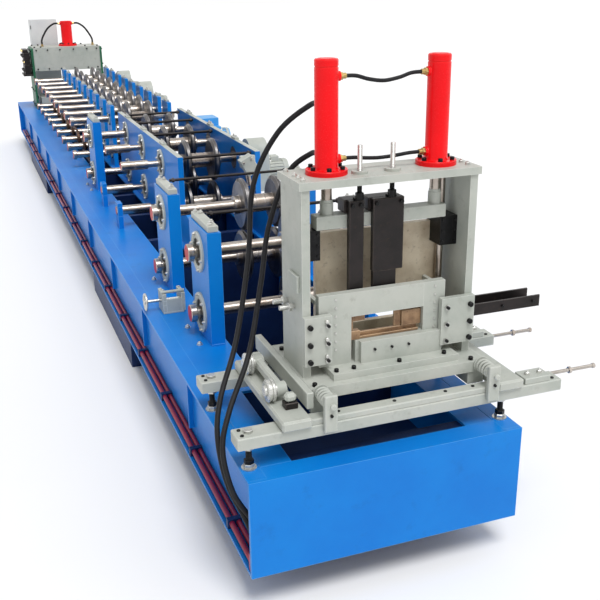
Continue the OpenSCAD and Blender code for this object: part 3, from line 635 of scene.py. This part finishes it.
# %% Fasteners on the die plate and its guards
bm = bmesh.new()
for z in (1095, 1180, 1268):
    socket_bolt(bm, at(-295, GUARD_Y, z), -BACK, 0.017)
    socket_bolt(bm, at(545, GUARD_Y, z), -BACK, 0.017)
    socket_bolt(bm, at(-207, GUARD_Y - 9, z), -BACK, 0.011)
    socket_bolt(bm, at(418, GUARD_Y - 9, z), -BACK, 0.011)
for x in (40, 130, 220):
    socket_bolt(bm, at(x, 300, 1105), -BACK, 0.009)
for x, y in ((-175, 260), (-175, 640), (-85, 262), (150, 255), (395, 260), (430, 640)):
    socket_bolt(bm, at(x, y, 1040), UP, 0.015)
for x, y in ((-300, 220), (-300, 680), (520, 215), (560, 680), (540, 440)):
    socket_bolt(bm, at(x, y, 1005), UP, 0.016)
piece("plate_socket_bolts", bm, black_oxide)
bm = bmesh.new()
for z in range(1120, 1380, 42):
    stub(bm, at(-150, PLATE_Y, z), -BACK, 0.0055, 0.004, sides=8)
    stub(bm, at(370, PLATE_Y, z), -BACK, 0.0055, 0.004, sides=8)
for z in (1095, 1180, 1268):
    for x in (-207, 418):
        stub(bm, at(x, GUARD_Y, z), -BACK, 0.013, 0.009, sides=16)
    stub(bm, at(-212, GUARD_Y, z + 20), -BACK, 0.009, 0.012, sides=12, rub=0.001)
piece("plate_zinc_bolts", bm, zinc)

# %% Inserts in the window
insert = metal_finish("die_insert_steel", (0.62, 0.50, 0.38), (0.45, 0.34, 0.25), edge=(0.80, 0.70, 0.58),
                      dirt=(0.25, 0.18, 0.12), metallic=0.4, rough=(0.3, 0.5), patch_scale=14.0,
                      dirt_amount=0.8)
bm = bmesh.new()
bar(bm, (-69, 338, 1151), (-20, 374, 1196), rub=0.002)
bar(bm, (-20, 342, 1151), (292, 374, 1164), rub=0.002)
bar(bm, (-20, 360, 1164), (292, 374, 1180), rub=0.002)
bar(bm, (205, 350, 1180), (309, 374, 1260), rub=0.003)
bar(bm, (168, 362, 1180), (206, 374, 1266), rub=0.003)
bar(bm, (-69, 345, 1197), (-54, 372, 1274), rub=0.002)
bar(bm, (-53, 352, 1240), (10, 372, 1274), rub=0.002)
piece("die_inserts", bm, insert)

# %% Bars that the portal carries
bm = bmesh.new()
for x in (-320 - 13, 570):
    bar(bm, (x, 352, 1420), (x + 13, 470, 1500), rub=0.002)
bar(bm, (-236, 371, 1340), (-215, 529, 1362), rub=0.002)
bar(bm, (405, 371, 1340), (424, 529, 1362), rub=0.002)
piece("portal_bars", bm, finishes["grey_paint"])
bm = bmesh.new()
for y, z in ((430, 1330), (520, 1330)):
    stub(bm, at(-320, y, z), -RIGHT, 0.012, 0.075, sides=16, rub=0.002)
    stub(bm, at(-333, y, z), -RIGHT, 0.021, 0.016, sides=6, rub=0.0015)
piece("portal_side_rods", bm, zinc)

# %% [markdown]
# ## Springs, rollers and rails of the cutter
# The cutter runs back on its rails when the strip pushes it, and two coil springs bring it home.
# A coil is a wire swept along a helix, which the tube helper already does. The rollers are
# turned, and the screw rows on the front rail hold its wear strip.

# %% Coil springs and their blocks
SPRING_X, SPRING_Z = (-286, 560), 988
bm = bmesh.new()
for x in SPRING_X:
    turns, start, end = 4.2, 86, 184
    count = int(turns * 16)
    helix = [at(x + 30 * cos(2 * pi * t / 16), start + (end - start) * t / count,
                SPRING_Z + 30 * sin(2 * pi * t / 16)) for t in range(count + 1)]
    tube(bm, helix, 0.0068, sides=8)
    lathe(bm, [(0, 0), (0, 0.040), (0.010, 0.040), (0.013, 0.037), (0.013, 0)], at(x, 177, SPRING_Z), BACK,
          sides=32)
    lathe(bm, [(0, 0), (0, 0.013), (0.110, 0.013), (0.110, 0)], at(x, 78, SPRING_Z), BACK, sides=20)
piece("buffer_coils", bm, finishes["grey_paint"], replaces=["buffer_springs"])
bm = bmesh.new()
for x in SPRING_X:
    bar(bm, (x - 31, 52, 846), (x + 31, 79.5, 1027), rub=0.004)
    stub(bm, at(x + 6, 52, 975), -BACK, 0.014, 0.016, sides=20, rub=0.004)
    lathe(bm, [(0, 0), (0, 0.036), (0.008, 0.036), (0.008, 0)], at(x, 79, SPRING_Z), BACK, sides=28)
piece("buffer_stops", bm, finishes["grey_paint"], replaces=["buffer_blocks"])

# %% Rails, cross bars and side slabs
bm = bmesh.new()
for y in (80, 700):
    bar(bm, (-720, y, 820), (970, y + 110, 880), rub=0.004)
for x0, x1 in ((-515, -372), (592, 735)):
    bar(bm, (x0, 60, 880), (x1, 810, 930), rub=0.009)
bar(bm, (-371, 84, 880), (591, 150, 910), rub=0.004)
bar(bm, (-371, 715, 880), (591, 790, 920), rub=0.004)
for x0 in (-330, 500):
    bar(bm, (x0, 200, 880), (x0 + 90, 740, 950), rub=0.002)
bar(bm, (-371, 830, 820), (591, 900, 870), rub=0.003)
for x0 in (-371, 531):
    bar(bm, (x0, 792, 880), (x0 + 60, 880, 915), rub=0.003)
piece("rail_bars", bm, finishes["grey_paint"], replaces=["cutter_rails"])

# %% Rollers on their carrier
polished = metal_finish("polished_rollers", (0.80, 0.80, 0.78), (0.72, 0.72, 0.70), edge=(0.95, 0.95, 0.94),
                        metallic=0.55, rough=(0.2, 0.34), patch_scale=9.0, bump=0.05)
ROLLER_Y, ROLLER_Z = (290, 620), 987
bm = bmesh.new()
for y in ROLLER_Y:
    lathe(bm, [(0, 0), (0, 0.024), (0.004, 0.028), (0.010, 0.028), (0.012, 0.050), (0.016, 0.054),
               (0.022, 0.054), (0.025, 0.047), (0.032, 0.047), (0.035, 0.054), (0.044, 0.054), (0.048, 0.050),
               (0.048, 0.034), (0.060, 0.034), (0.060, 0)], at(-527, y, ROLLER_Z), RIGHT, sides=44)
piece("guide_rollers", bm, polished, replaces=["cam_rollers"])
bm, base = bmesh.new(), bmesh.new()
for y in ROLLER_Y:
    lathe(bm, [(0, 0), (0, 0.036), (0.044, 0.036), (0.048, 0.032), (0.048, 0)], at(-468, y, ROLLER_Z),
          RIGHT, sides=32)
bar(bm, (-466, ROLLER_Y[0], 962), (-426, ROLLER_Y[1], 1012), rub=0.010)
bar(bm, (-366, 150, 930), (-333, 910, 1010), rub=0.003)
for y in (ROLLER_Y[0] - 88, ROLLER_Y[1] + 75):
    bar(base, (-460, y - 26, 930), (-398, y + 26, 962), rub=0.003)
    bar(bm, (-456, y - 23, 962), (-402, y + 23, 1004), rub=0.013)
piece("roller_carrier", bm, finishes["grey_paint"], replaces=["cam_rollers"])
piece("carrier_base", base, finishes["black_steel"])

# %% Levelling screws with their washers
bm = bmesh.new()
steps = bmesh.new()
for x in (-655, 655):
    for y in (135, 755):
        threaded(bm, at(x, y, 701), UP, 0.015, 0.118, pitch=0.005)
        stub(bm, at(x, y, 726), UP, 0.024, 0.020, sides=6, rub=0.002)
        stub(steps, at(x, y, 700.2), UP, 0.036, 0.006, sides=28)
        stub(steps, at(x, y, 706.2), UP, 0.026, 0.018, sides=6, rub=0.002)
        stub(steps, at(x, y, 797), UP, 0.026, 0.020, sides=6, rub=0.002)
        stub(steps, at(x, y, 817), UP, 0.030, 0.003, sides=28)
        stub(steps, at(x, y, 880), UP, 0.024, 0.016, sides=6, rub=0.002)
piece("levelling_rods", bm, black_oxide, replaces=["levelling_screws"])
piece("levelling_nuts", steps, zinc, replaces=["levelling_screws"])

# %% Rail screws and adjusting rods
bm = bmesh.new()
for x in (-225, 60, 330, 480):
    stub(bm, at(x, 118, 910), UP, 0.009, 0.004, sides=12, rub=0.001)
for x in (-690, 760, 850, 930):
    for y in (108, 162, 728, 782):
        stub(bm, at(x, y, 880), UP, 0.009, 0.006, sides=12, rub=0.001)
for x in SPRING_X:
    socket_bolt(bm, at(x, 52, 930), -BACK, 0.010)
piece("rail_screws", bm, black_oxide)
bm = bmesh.new()
threaded(bm, at(950, 210, 850), RIGHT, 0.010, 0.320, pitch=0.0035)
threaded(bm, at(970, 755, 850), RIGHT, 0.010, 0.280, pitch=0.0035)
for x, y in ((951, 210), (1105, 210), (971, 755), (1120, 755)):
    stub(bm, at(x, y, 850), RIGHT, 0.018, 0.016, sides=6, rub=0.0015)
for x, y in ((1252, 210), (1232, 755)):
    stub(bm, at(x, y, 850), RIGHT, 0.0135, 0.017, sides=6, rub=0.0015)
bar(bm, (912, 191, 821), (950, 230, 879), rub=0.002)
piece("adjusting_rods", bm, finishes["bright_steel"], replaces=["adjusting_screws"])
bm = bmesh.new()
for x0, x1, y in ((760, 905, 86), (790, 905, 706)):
    bar(bm, (x0, y, 880), (x1, y + 98, 912), rub=0.003)
piece("rail_clamps", bm, finishes["grey_paint"])
bm = bmesh.new()
for x in (800, 870):
    for y in (135, 755):
        hex_bolt(bm, at(x, y, 912), UP, 0.016)
piece("clamp_bolts", bm, zinc)

# %% [markdown]
# ## Bearings, caps and tie rods
# Each shaft runs in a bearing behind a round flange with six bolts. The flange is a lathe piece
# with a raised rim and a dark seal round the shaft, made once for each of the sixteen places.

# %% Bearing flanges
LOW_Z, UP_Z = 850, 1236
STAND_Y = (1760, 2780, 6190)
WALL_Y = (4490, 5340, 6190)
places = [(-440, y, -1) for y in STAND_Y] + [(-70, y, -1) for y in WALL_Y]
places += [(635, y, 1) for y in (1760, 2780) + WALL_Y]
flange_profile = [(0, 0.084), (0, 0.125), (0.012, 0.125), (0.015, 0.122), (0.015, 0.090),
                  (0.012, 0.084), (0, 0.084)]
seal_profile = [(0.0, 0.0385), (0.005, 0.0385), (0.006, 0.050), (0.003, 0.056), (0.003, 0.083), (0.0, 0.083),
                (0.0, 0.0385)]
bm, seals, bolts = bmesh.new(), bmesh.new(), bmesh.new()
for x, y, way in places:
    for z in (LOW_Z, UP_Z):
        lathe(bm, flange_profile, at(x, y, z), RIGHT * way, sides=56)
        lathe(seals, seal_profile, at(x, y, z), RIGHT * way, sides=40)
        bolt_ring(bolts, at(x + way * 15, y, z), RIGHT * way, 0.110, 6, 0.012, kind=hex_bolt, start=0.26)
piece("bearing_flanges", bm, finishes["grey_paint"], replaces=["bearing_rings"])
piece("bearing_seals", seals, finishes["black_steel"], replaces=["bearing_rings"])
piece("bearing_bolts", bolts, zinc)

# %% Bearing housings inside the bores
bm = bmesh.new()
for x, y, way in places:
    thick = 0.085 if x == -440 else 0.045
    for z in (LOW_Z, UP_Z):
        lathe(bm, [(-thick, 0.0385), (-thick, 0.0985), (-0.0003, 0.0985), (-0.0003, 0.0385), (-thick, 0.0385)],
              at(x, y, z), RIGHT * way, sides=40)
piece("bearing_housings", bm, finishes["bright_steel"], replaces=["bearing_rings"])

# %% Caps with their bolts, and tie rods
CAP_LOW = 1400
FAR_Y = [7300 + 550 * k for k in range(far_count)]
bm, bolts = bmesh.new(), bmesh.new()
for x, places in ((-397, STAND_Y), (612, (1760, 2780))):
    for y in places:
        bar(bm, (x - 32, y - 195, CAP_LOW), (x + 32, y + 195, CAP_LOW + 38), rub=0.003)
        for dy in (-165, -120, 120, 165):
            hex_bolt(bolts, at(x + (12 if abs(dy) < 150 else -12), y + dy, CAP_LOW + 38), UP, 0.016, end=0.6)
for y in list(WALL_Y) + FAR_Y:
    for x in (-47, 612):
        bar(bm, (x - 20, y - 60, CAP_LOW), (x + 20, y + 60, CAP_LOW + 22), rub=0.002)
        for dy in (-36, 36):
            hex_bolt(bolts, at(x, y + dy, CAP_LOW + 22), UP, 0.014, end=0.8)
for x in (-70, 590):
    bar(bm, (x + 1, 3841, CAP_LOW), (x + 44, 6649, CAP_LOW + 2.5), rub=0.0)
piece("post_caps", bm, finishes["grey_paint"], replaces=["stand_caps"])
piece("cap_bolts", bolts, zinc)
rod_box = [Vector(corner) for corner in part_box("tie_rods")]
bm = bmesh.new()
for y in (rod_box[0].y + 0.010, rod_box[1].y - 0.010):
    height = (rod_box[0].z + rod_box[1].z) / 2
    lathe(bm, [(0, 0), (0, 0.008), (0.002, 0.010), (rod_box[1].x - rod_box[0].x - 0.002, 0.010),
               (rod_box[1].x - rod_box[0].x, 0.008), (rod_box[1].x - rod_box[0].x, 0)],
          Vector((rod_box[0].x, y, height)), RIGHT, sides=20)
    for x in (rod_box[0].x + 0.02, rod_box[1].x - 0.06):
        stub(bm, Vector((x, y, height)), RIGHT, 0.017, 0.016, sides=6, rub=0.0015)
for y in (3960, 5185, 5955, 6560):
    lathe(bm, [(0, 0), (0, 0.013), (0.613, 0.013), (0.613, 0)], at(-24, y, 1370), RIGHT, sides=20)
    for x in (-10, 560):
        stub(bm, at(x, y, 1370), RIGHT, 0.021, 0.018, sides=6, rub=0.0015)
piece("tie_rod_bars", bm, finishes["black_steel"], replaces=["tie_rods"])

# %% [markdown]
# ## The base
# Between the beams there is a pan that catches oil; its navy is painted shade, which keeps the
# inside of the base dark. Its pale marks are bolts of the deck and the weld plates of the ribs.

# %% Base pan, deck bolts, deck strips, web sheets and low posts
bm = bmesh.new()
# A pan closes the base; its navy is painted shade of the inside.
bar(bm, (-608, 24, 262), (608, 13576, 274), rub=0.0)
piece("base_pan_painted_shade", bm, finishes["navy_paint"])
bm = bmesh.new()
for y in range(1100, 12600, 920):
    hex_bolt(bm, at(650, y, 700), UP, 0.013)
for y in STAND_Y:
    for dx, dy in ((-60, -150), (-60, 150)):
        hex_bolt(bm, at(-440 + dx, y + dy, 700), UP, 0.018)
piece("deck_bolts", bm, zinc)
bm = bmesh.new()
for x0, x1 in ((-608, -455), (455, 608)):
    bar(bm, (x0, 121, 684), (x1, 899, 699.5), rub=0.001)
bar(bm, (-610, 900, 640), (-455, 912, 684), rub=0.001)
for y in STAND_Y:
    for dy in (-212, 206):
        bar(bm, (-438, y + dy, 700), (-358, y + dy + 6, 712), rub=0.001)
piece("front_deck_strips", bm, finishes["blue_paint"])
bm = bmesh.new()
# Thin sheets on both beam webs that paint the shade of the recess navy.
bar(bm, (-612.4, 22, 214.6), (-610.2, 13578, 685.6), rub=0.0)
bar(bm, (610.2, 22, 214.6), (612.4, 13578, 685.6), rub=0.0)
piece("beam_web_painted_shade", bm, painted_shade_navy)
bm = bmesh.new()
for y in (4490, 5340):
    bar(bm, (-494, y - 60, 700), (-450, y + 60, 808), rub=0.002)
    bar(bm, (-494, y - 60, 808), (-450, y - 41, 892), rub=0.001)
    bar(bm, (-494, y + 41, 808), (-450, y + 60, 892), rub=0.001)
    bar(bm, (-494, y - 60, 892), (-450, y + 60, 925), rub=0.002)
piece("low_posts", bm, finishes["blue_paint"])

# %% [markdown]
# ## Handwheel
# The wheel is a turned rim on three spokes. Only the rim needs a lathe: the profile is a small
# octagon away from the axis, which makes a round bar bent into a ring.

# %% Wheel, spindle and bracket
WHEEL = at(-691, 2270, 775)
bm = bmesh.new()
rim = [(0.008 * cos(2 * pi * k / 10), 0.052 + 0.008 * sin(2 * pi * k / 10)) for k in range(10)]
lathe(bm, rim + rim[:1], WHEEL, RIGHT, sides=48)
lathe(bm, [(-0.009, 0), (-0.009, 0.015), (-0.007, 0.017), (0.010, 0.017), (0.012, 0.011), (0.250, 0.011),
           (0.252, 0.0)], WHEEL, RIGHT, sides=24)
for k in range(3):
    angle = 2 * pi * k / 3 + 0.4
    spoke = Vector((0, cos(angle), sin(angle)))
    stub(bm, WHEEL + spoke * 0.014, spoke, 0.006, 0.036, sides=10)
stub(bm, WHEEL + Vector((-0.006, 0.052, 0)), -RIGHT, 0.005, 0.003, sides=12)
piece("adjusting_wheel", bm, zinc, body="handwheel", replaces=["handwheel"])
bm = bmesh.new()
bar(bm, (-590, 2195, 700), (-452, 2345, 712), rub=0.002)
for x0, x1 in ((-590, -566), (-466, -442)):
    bar(bm, (x0, 2195, 712), (x1, 2345, 761), rub=0.001)
    bar(bm, (x0, 2195, 789), (x1, 2345, 835), rub=0.001)
    bar(bm, (x0, 2195, 761), (x1, 2256, 789), rub=0.0)
    bar(bm, (x0, 2284, 761), (x1, 2345, 789), rub=0.0)
bar(bm, (-566, 2196, 712), (-466, 2204, 800), rub=0.001)
lathe(bm, [(0, 0), (0, 0.010), (0.15, 0.010), (0.15, 0)], at(-594, 2216, 846), RIGHT, sides=16)
piece("wheel_bracket", bm, finishes["grey_paint"], replaces=["handwheel_bracket"])
bm = bmesh.new()
for x in (-578, -454):
    for y in (2225, 2315):
        hex_bolt(bm, at(x, y, 835), UP, 0.009)
piece("bracket_bolts", bm, zinc)

# %% [markdown]
# ## Straightener before the wall
# Between the second stand and the long wall a tilted block with four bolts and a short piston
# presses on the strip. It hangs on a bar from the right wall.

# %% Tilted block
bm = bmesh.new()
bar(bm, (470, 3835, 1290), (590, 3880, 1370), rub=0.003)
for z in (1290, 1360):
    bar(bm, (455, 3640, z - 12), (480, 3850, z + 12), rub=0.003)
made = bmesh.ops.create_cube(bm, size=1.0)["verts"]
tilt = Matrix.Translation(at(470, 3640, 1335)) @ Matrix.Rotation(radians(-28), 4, "Y")
bmesh.ops.transform(bm, matrix=tilt @ Matrix.Diagonal((0.11, 0.09, 0.15, 1.0)), verts=made)
bmesh.ops.bevel(bm, geom=list({e for v in made for e in v.link_edges}), offset=0.004, affect="EDGES",
                segments=1, profile=0.5, material=-1)
piece("straightener_block", bm, finishes["grey_paint"])
bm = bmesh.new()
way = (tilt.to_3x3() @ Vector((-0.35, 0, -1))).normalized()
stub(bm, at(455, 3640, 1275), way, 0.022, 0.11, sides=24, rub=0.002)
for dx in (-0.035, 0.035):
    for dz in (-0.05, 0.05):
        socket_bolt(bm, tilt @ Vector((dx, -0.045, dz)), -BACK, 0.011)
piece("straightener_piston", bm, finishes["bright_steel"])

# %% [markdown]
# ## Chains of the far stations
# A roller chain is a row of link plates round two sprockets. Each pair of stations has one loop:
# links lie along the straight runs and round the sprockets.

# %% Chain loops
CHAIN_X, SPROCKET, CHAIN_T = (-330, -304), 95, 16
loops, sprockets = bmesh.new(), bmesh.new()
mean = SPROCKET + CHAIN_T / 2
for k in range(0, far_count - 1, 2):
    first, second = 7300 + 550 * k, 7300 + 550 * (k + 1)
    straight, half = second - first, pi * mean
    whole = 2 * (straight + half)
    links = 66
    for j in range(links):
        s = whole * j / links
        if s < straight:
            y, z, angle = first + s, LOW_Z + mean, 0.0
        elif s < straight + half:
            angle = (s - straight) / mean
            y, z = second + mean * sin(angle), LOW_Z + mean * cos(angle)
        elif s < 2 * straight + half:
            y, z, angle = second - (s - straight - half), LOW_Z - mean, pi
        else:
            angle = pi + (s - 2 * straight - half) / mean
            y, z = first + mean * sin(angle), LOW_Z + mean * cos(angle)
        made = bmesh.ops.create_cube(loops, size=1.0)["verts"]
        wide = (CHAIN_X[1] - CHAIN_X[0]) / 1000 * (1.0 if j % 2 else 0.72)
        grow = Matrix.Diagonal((wide, whole / links * 0.00118, CHAIN_T * 0.00082, 1.0))
        spot = Matrix.Translation(at((CHAIN_X[0] + CHAIN_X[1]) / 2, y, z))
        bmesh.ops.transform(loops, matrix=spot @ Matrix.Rotation(-angle, 4, "X") @ grow, verts=made)
    for y in (first, second):
        lathe(sprockets, [(0.006, 0.0385), (0.006, 0.088), (0.010, 0.093), (0.016, 0.093), (0.020, 0.088),
                          (0.020, 0.0385), (0.006, 0.0385)], at(CHAIN_X[0], y, LOW_Z), RIGHT, sides=36)
        lathe(sprockets, [(0.0, 0.0385), (0.0, 0.055), (0.040, 0.055), (0.040, 0.0385), (0.0, 0.0385)],
              at(CHAIN_X[0], y, LOW_Z), RIGHT, sides=28)
piece("chain_links", loops, finishes["chain_steel"], replaces=["chain_drives"])
piece("chain_sprockets", sprockets, finishes["chain_steel"], replaces=["chain_drives"])

# %% [markdown]
# ## Gear units and motors
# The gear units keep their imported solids. The motors get cooling fins, a fan cover and a terminal
# box: long thin ribs round a barrel are what makes a motor look like a motor.

# %% Motor fins
def motor_fins(bm, place, radius, start, end, count=20):
    """Ribs along a motor that points along X."""
    for k in range(count):
        angle = 2 * pi * (k + 0.5) / count
        made = bmesh.ops.create_cube(bm, size=1.0)["verts"]
        grow = Matrix.Diagonal((end - start, 0.004, 0.010, 1.0))
        shift = Matrix.Translation(((start + end) / 2, 0, radius + 0.003))
        bmesh.ops.transform(bm, matrix=Matrix.Translation(place) @ Matrix.Rotation(angle, 4, "X") @ shift @ grow,
                            verts=made)


GEAR_Y = [WALL_Y[0]] + [7300 + 550 * k for k in range(4, far_count, 3)]
bm, covers, bolts = bmesh.new(), bmesh.new(), bmesh.new()
for y in GEAR_Y:
    end = at(904, y, 1096)
    motor_fins(bm, end, 0.090, 0.006, 0.140)
    lathe(covers, [(0.142, 0.0), (0.142, 0.096), (0.176, 0.096), (0.182, 0.086), (0.182, 0.0)], end, RIGHT,
          sides=36)
    bar(covers, (930, y - 45, 1180), (1010, y + 45, 1226), rub=0.004)
    bolt_ring(bolts, at(880, y, 1236), RIGHT, 0.138, 8, 0.012)
    bolt_ring(bolts, at(904, y, 1096), RIGHT, 0.0001, 1, 0.010)
    for dy in (-98, 98):
        for z in (998, 1194):
            hex_bolt(bolts, at(904, y + dy, z), RIGHT, 0.012)
pump = at(903, 6190, 1136)
motor_fins(bm, pump, 0.085, 0.004, 0.096)
lathe(covers, [(0.098, 0.0), (0.098, 0.091), (0.124, 0.091), (0.129, 0.082), (0.129, 0.0)], pump, RIGHT,
      sides=36)
piece("motor_fins", bm, finishes["grey_paint"])
piece("motor_covers", covers, finishes["grey_paint"])
for dy in (-180, 180):
    for z in (1000, 1240):
        hex_bolt(bolts, at(903, 6190 + dy, z), RIGHT, 0.014)
piece("gear_bolts", bolts, zinc)

# %% [markdown]
# ## The punching unit
# One red cylinder stands on the green and grey housing. Its hoses go down to two round sockets,
# and the valve stack at the left is a row of black blocks with solenoids and small caps.

# %% Cylinder and sockets
PUNCH_X, PUNCH_Y, PUNCH_TOP = 170, 12800, 1690
bm = bmesh.new()
lathe(bm, [(0, 0), (0, 0.150), (0.027, 0.150), (0.030, 0.147), (0.030, 0.096), (0.040, 0.090),
           (0.352, 0.090), (0.355, 0.087), (0.362, 0.087), (0.365, 0.090), (0.394, 0.090), (0.400, 0.084),
           (0.400, 0)], at(PUNCH_X, PUNCH_Y, PUNCH_TOP), UP, sides=56)
for way in (-1, 1):
    stub(bm, at(PUNCH_X + way * 86, PUNCH_Y, 2050), RIGHT * way, 0.026, 0.018, sides=24)
piece("punch_cylinder_tube", bm, finishes["red_paint"], replaces=["punch_cylinder"])
bm = bmesh.new()
for way in (-1, 1):
    stub(bm, at(PUNCH_X + way * 104, PUNCH_Y, 2050), RIGHT * way, 0.021, 0.0257, sides=6, rub=0.0015)
for x in (-250, 580):
    stub(bm, at(x, PUNCH_Y - 20, PUNCH_TOP), UP, 0.024, 0.012, sides=28)
    stub(bm, at(x, PUNCH_Y - 20, PUNCH_TOP + 12), UP, 0.020, 0.0277, sides=6, rub=0.0015)
piece("punch_ports", bm, brass, replaces=["punch_cylinder"])
bm = bmesh.new()
bolt_ring(bm, at(PUNCH_X, PUNCH_Y, PUNCH_TOP + 30), UP, 0.124, 8, 0.018, kind=socket_bolt)
for x in (-400, -300, 420, 620):
    for y in (12540, 13060):
        socket_bolt(bm, at(x, y, PUNCH_TOP), UP, 0.018)
for y in (12530, 12800, 13070):
    for z in (760, 1000, 1250, 1400, 1640):
        socket_bolt(bm, at(-462, y, z), -RIGHT, 0.016)
        socket_bolt(bm, at(682, y, z), RIGHT, 0.016)
for x in (-380, -200, 0, 220, 440, 600):
    for z in (1350, 1650):
        socket_bolt(bm, at(x, 12500, z), -BACK, 0.016)
piece("punch_bolts", bm, black_oxide)

# %% Solenoids and caps of the valve stack
VALVE_X = (-612, -482)
bm, caps = bmesh.new(), bmesh.new()
bar(bm, (VALVE_X[0], 12560, 1240), (VALVE_X[1] + 20, 12980, 1268), rub=0.003)
for k in range(6):
    y = 12580 + 64 * k
    bar(bm, (VALVE_X[0] + 30, y, 1270), (VALVE_X[1], y + 50, 1420), rub=0.003)
    bar(bm, (VALVE_X[0] + 34, y + 3, 1422), (VALVE_X[1] - 4, y + 47, 1500), rub=0.003)
    bar(bm, (VALVE_X[0] + 30, y, 1502), (VALVE_X[1], y + 50, 1610), rub=0.003)
    stub(bm, at(VALVE_X[0] + 30, y + 25, 1330), -RIGHT, 0.019, 0.028, sides=20, rub=0.003)
    stub(bm, at(VALVE_X[0] + 30, y + 25, 1560), -RIGHT, 0.019, 0.028, sides=20, rub=0.003)
    stub(caps, at(VALVE_X[0] + 34, y + 25, 1460), -RIGHT, 0.015, 0.012, sides=6, rub=0.001)
bar(bm, (VALVE_X[0] + 20, 12600, 1611), (VALVE_X[0] + 110, 12940, 1660), rub=0.004)
for y in range(12630, 12940, 60):
    stub(caps, at(VALVE_X[0] + 20, y, 1636), -RIGHT, 0.013, 0.014, sides=6, rub=0.001)
piece("valve_blocks", bm, finishes["black_steel"], replaces=["valve_stack"])
piece("valve_caps", caps, brass, replaces=["valve_stack"])

# %% Door, handle and vents of the cabinet
bm, fittings = bmesh.new(), bmesh.new()
bar(bm, (-366, 13197, 730), (46, 13200, 2070), rub=0.001)
bar(bm, (-366, 13500, 730), (46, 13503, 2070), rub=0.001)
piece("cabinet_doors", bm, finishes["cabinet_paint"])
for y, way in ((13197, -1), (13503, 1)):
    bar(fittings, (16, y, 1360), (32, y + way * 14, 1480), rub=0.003)
    for z in (820, 1400, 1980):
        stub(fittings, at(-372, y, z - 30), UP, 0.006, 0.060, sides=10)
piece("cabinet_fittings", fittings, black_oxide)
bm = bmesh.new()
for k in range(9):
    bar(bm, (-300, 13503, 900 + 24 * k), (-40, 13506, 910 + 24 * k), rub=0.0)
piece("cabinet_vents", bm, finishes["cabinet_paint"])

# %% [markdown]
# ## Small parts along the line
# The trough takes the cut strip away, and the blue lines and clamps lie in the side of the base.
# A few studs and nuts on the posts show how each far station is set.

# %% Trough and posts
bm = bmesh.new()
for x in (600, 780, 960):
    socket_bolt(bm, at(x, 360, 1200), -BACK, 0.010)
for y in [7300 + 550 * k for k in range(far_count)]:
    for x, way in ((-70, -1), (635, 1)):
        for z in (LOW_Z, UP_Z):
            bolt_ring(bm, at(x, y, z), RIGHT * way, 0.075, 4, 0.012, kind=socket_bolt, start=pi / 4)
piece("post_bolts", bm, black_oxide)
bm = bmesh.new()
for y in [7300 + 550 * k for k in range(far_count)]:
    for x, way in ((-70, -1), (635, 1)):
        for z in (LOW_Z, UP_Z):
            lathe(bm, [(0, 0.0385), (0, 0.062), (0.009, 0.062), (0.012, 0.058), (0.012, 0.0385), (0, 0.0385)],
                  at(x, y, z), RIGHT * way, sides=28)
piece("post_flanges", bm, finishes["grey_paint"])

# %% [markdown]
# ## Floor, light and background
# A plain pale floor and a white world. One broad sun from the upper left is the key light, and
# the world fills the shadows. The camera and mirrors see the world as white through Light Path.

# %% Floor
floor_bm = bmesh.new()
bmesh.ops.create_grid(floor_bm, x_segments=1, y_segments=1, size=80.0)
floor_mesh = bpy.data.meshes.new("floor")
floor_bm.to_mesh(floor_mesh)
floor_bm.free()
floor = bpy.data.objects.new("floor", floor_mesh)
floor.location.z = -0.001
bpy.context.scene.collection.objects.link(floor)
floor_paint = bpy.data.materials.new("pale_floor")
floor_paint.use_nodes = True
floor_paint.node_tree.nodes["Principled BSDF"].inputs["Base Color"].default_value = (0.93, 0.93, 0.93, 1)
floor_paint.node_tree.nodes["Principled BSDF"].inputs["Roughness"].default_value = 0.8
floor_mesh.materials.append(floor_paint)

# %% World and lamps
world = bpy.data.worlds.new("studio")
bpy.context.scene.world = world
world.use_nodes = True
sky = world.node_tree
rays = add(sky, "ShaderNodeLightPath")
seen = add(sky, "ShaderNodeMath", operation="ADD", use_clamp=True)
seen_more = add(sky, "ShaderNodeMath", operation="ADD", use_clamp=True)
sky.links.new(rays.outputs["Is Camera Ray"], seen.inputs[0])
sky.links.new(rays.outputs["Is Transmission Ray"], seen.inputs[1])
sky.links.new(seen.outputs["Value"], seen_more.inputs[0])
sky.links.new(rays.outputs["Is Glossy Ray"], seen_more.inputs[1])
level = stretch(sky, seen_more.outputs["Value"], 0.0, 1.0, 0.52, 1.0)
background = sky.nodes["Background"]
background.inputs["Color"].default_value = (1, 1, 1, 1)
sky.links.new(level, background.inputs["Strength"])
for name, strength, angle, turned in (("key", 2.0, 25, (27, 0, 2)), ("fill", 0.4, 60, (55, 0, 62))):
    lamp = bpy.data.objects.new(name, bpy.data.lights.new(name, "SUN"))
    lamp.data.energy = strength
    lamp.data.angle = radians(angle)
    lamp.rotation_euler = [radians(a) for a in turned]
    bpy.context.scene.collection.objects.link(lamp)
bpy.context.scene.view_settings.view_transform = "Standard"
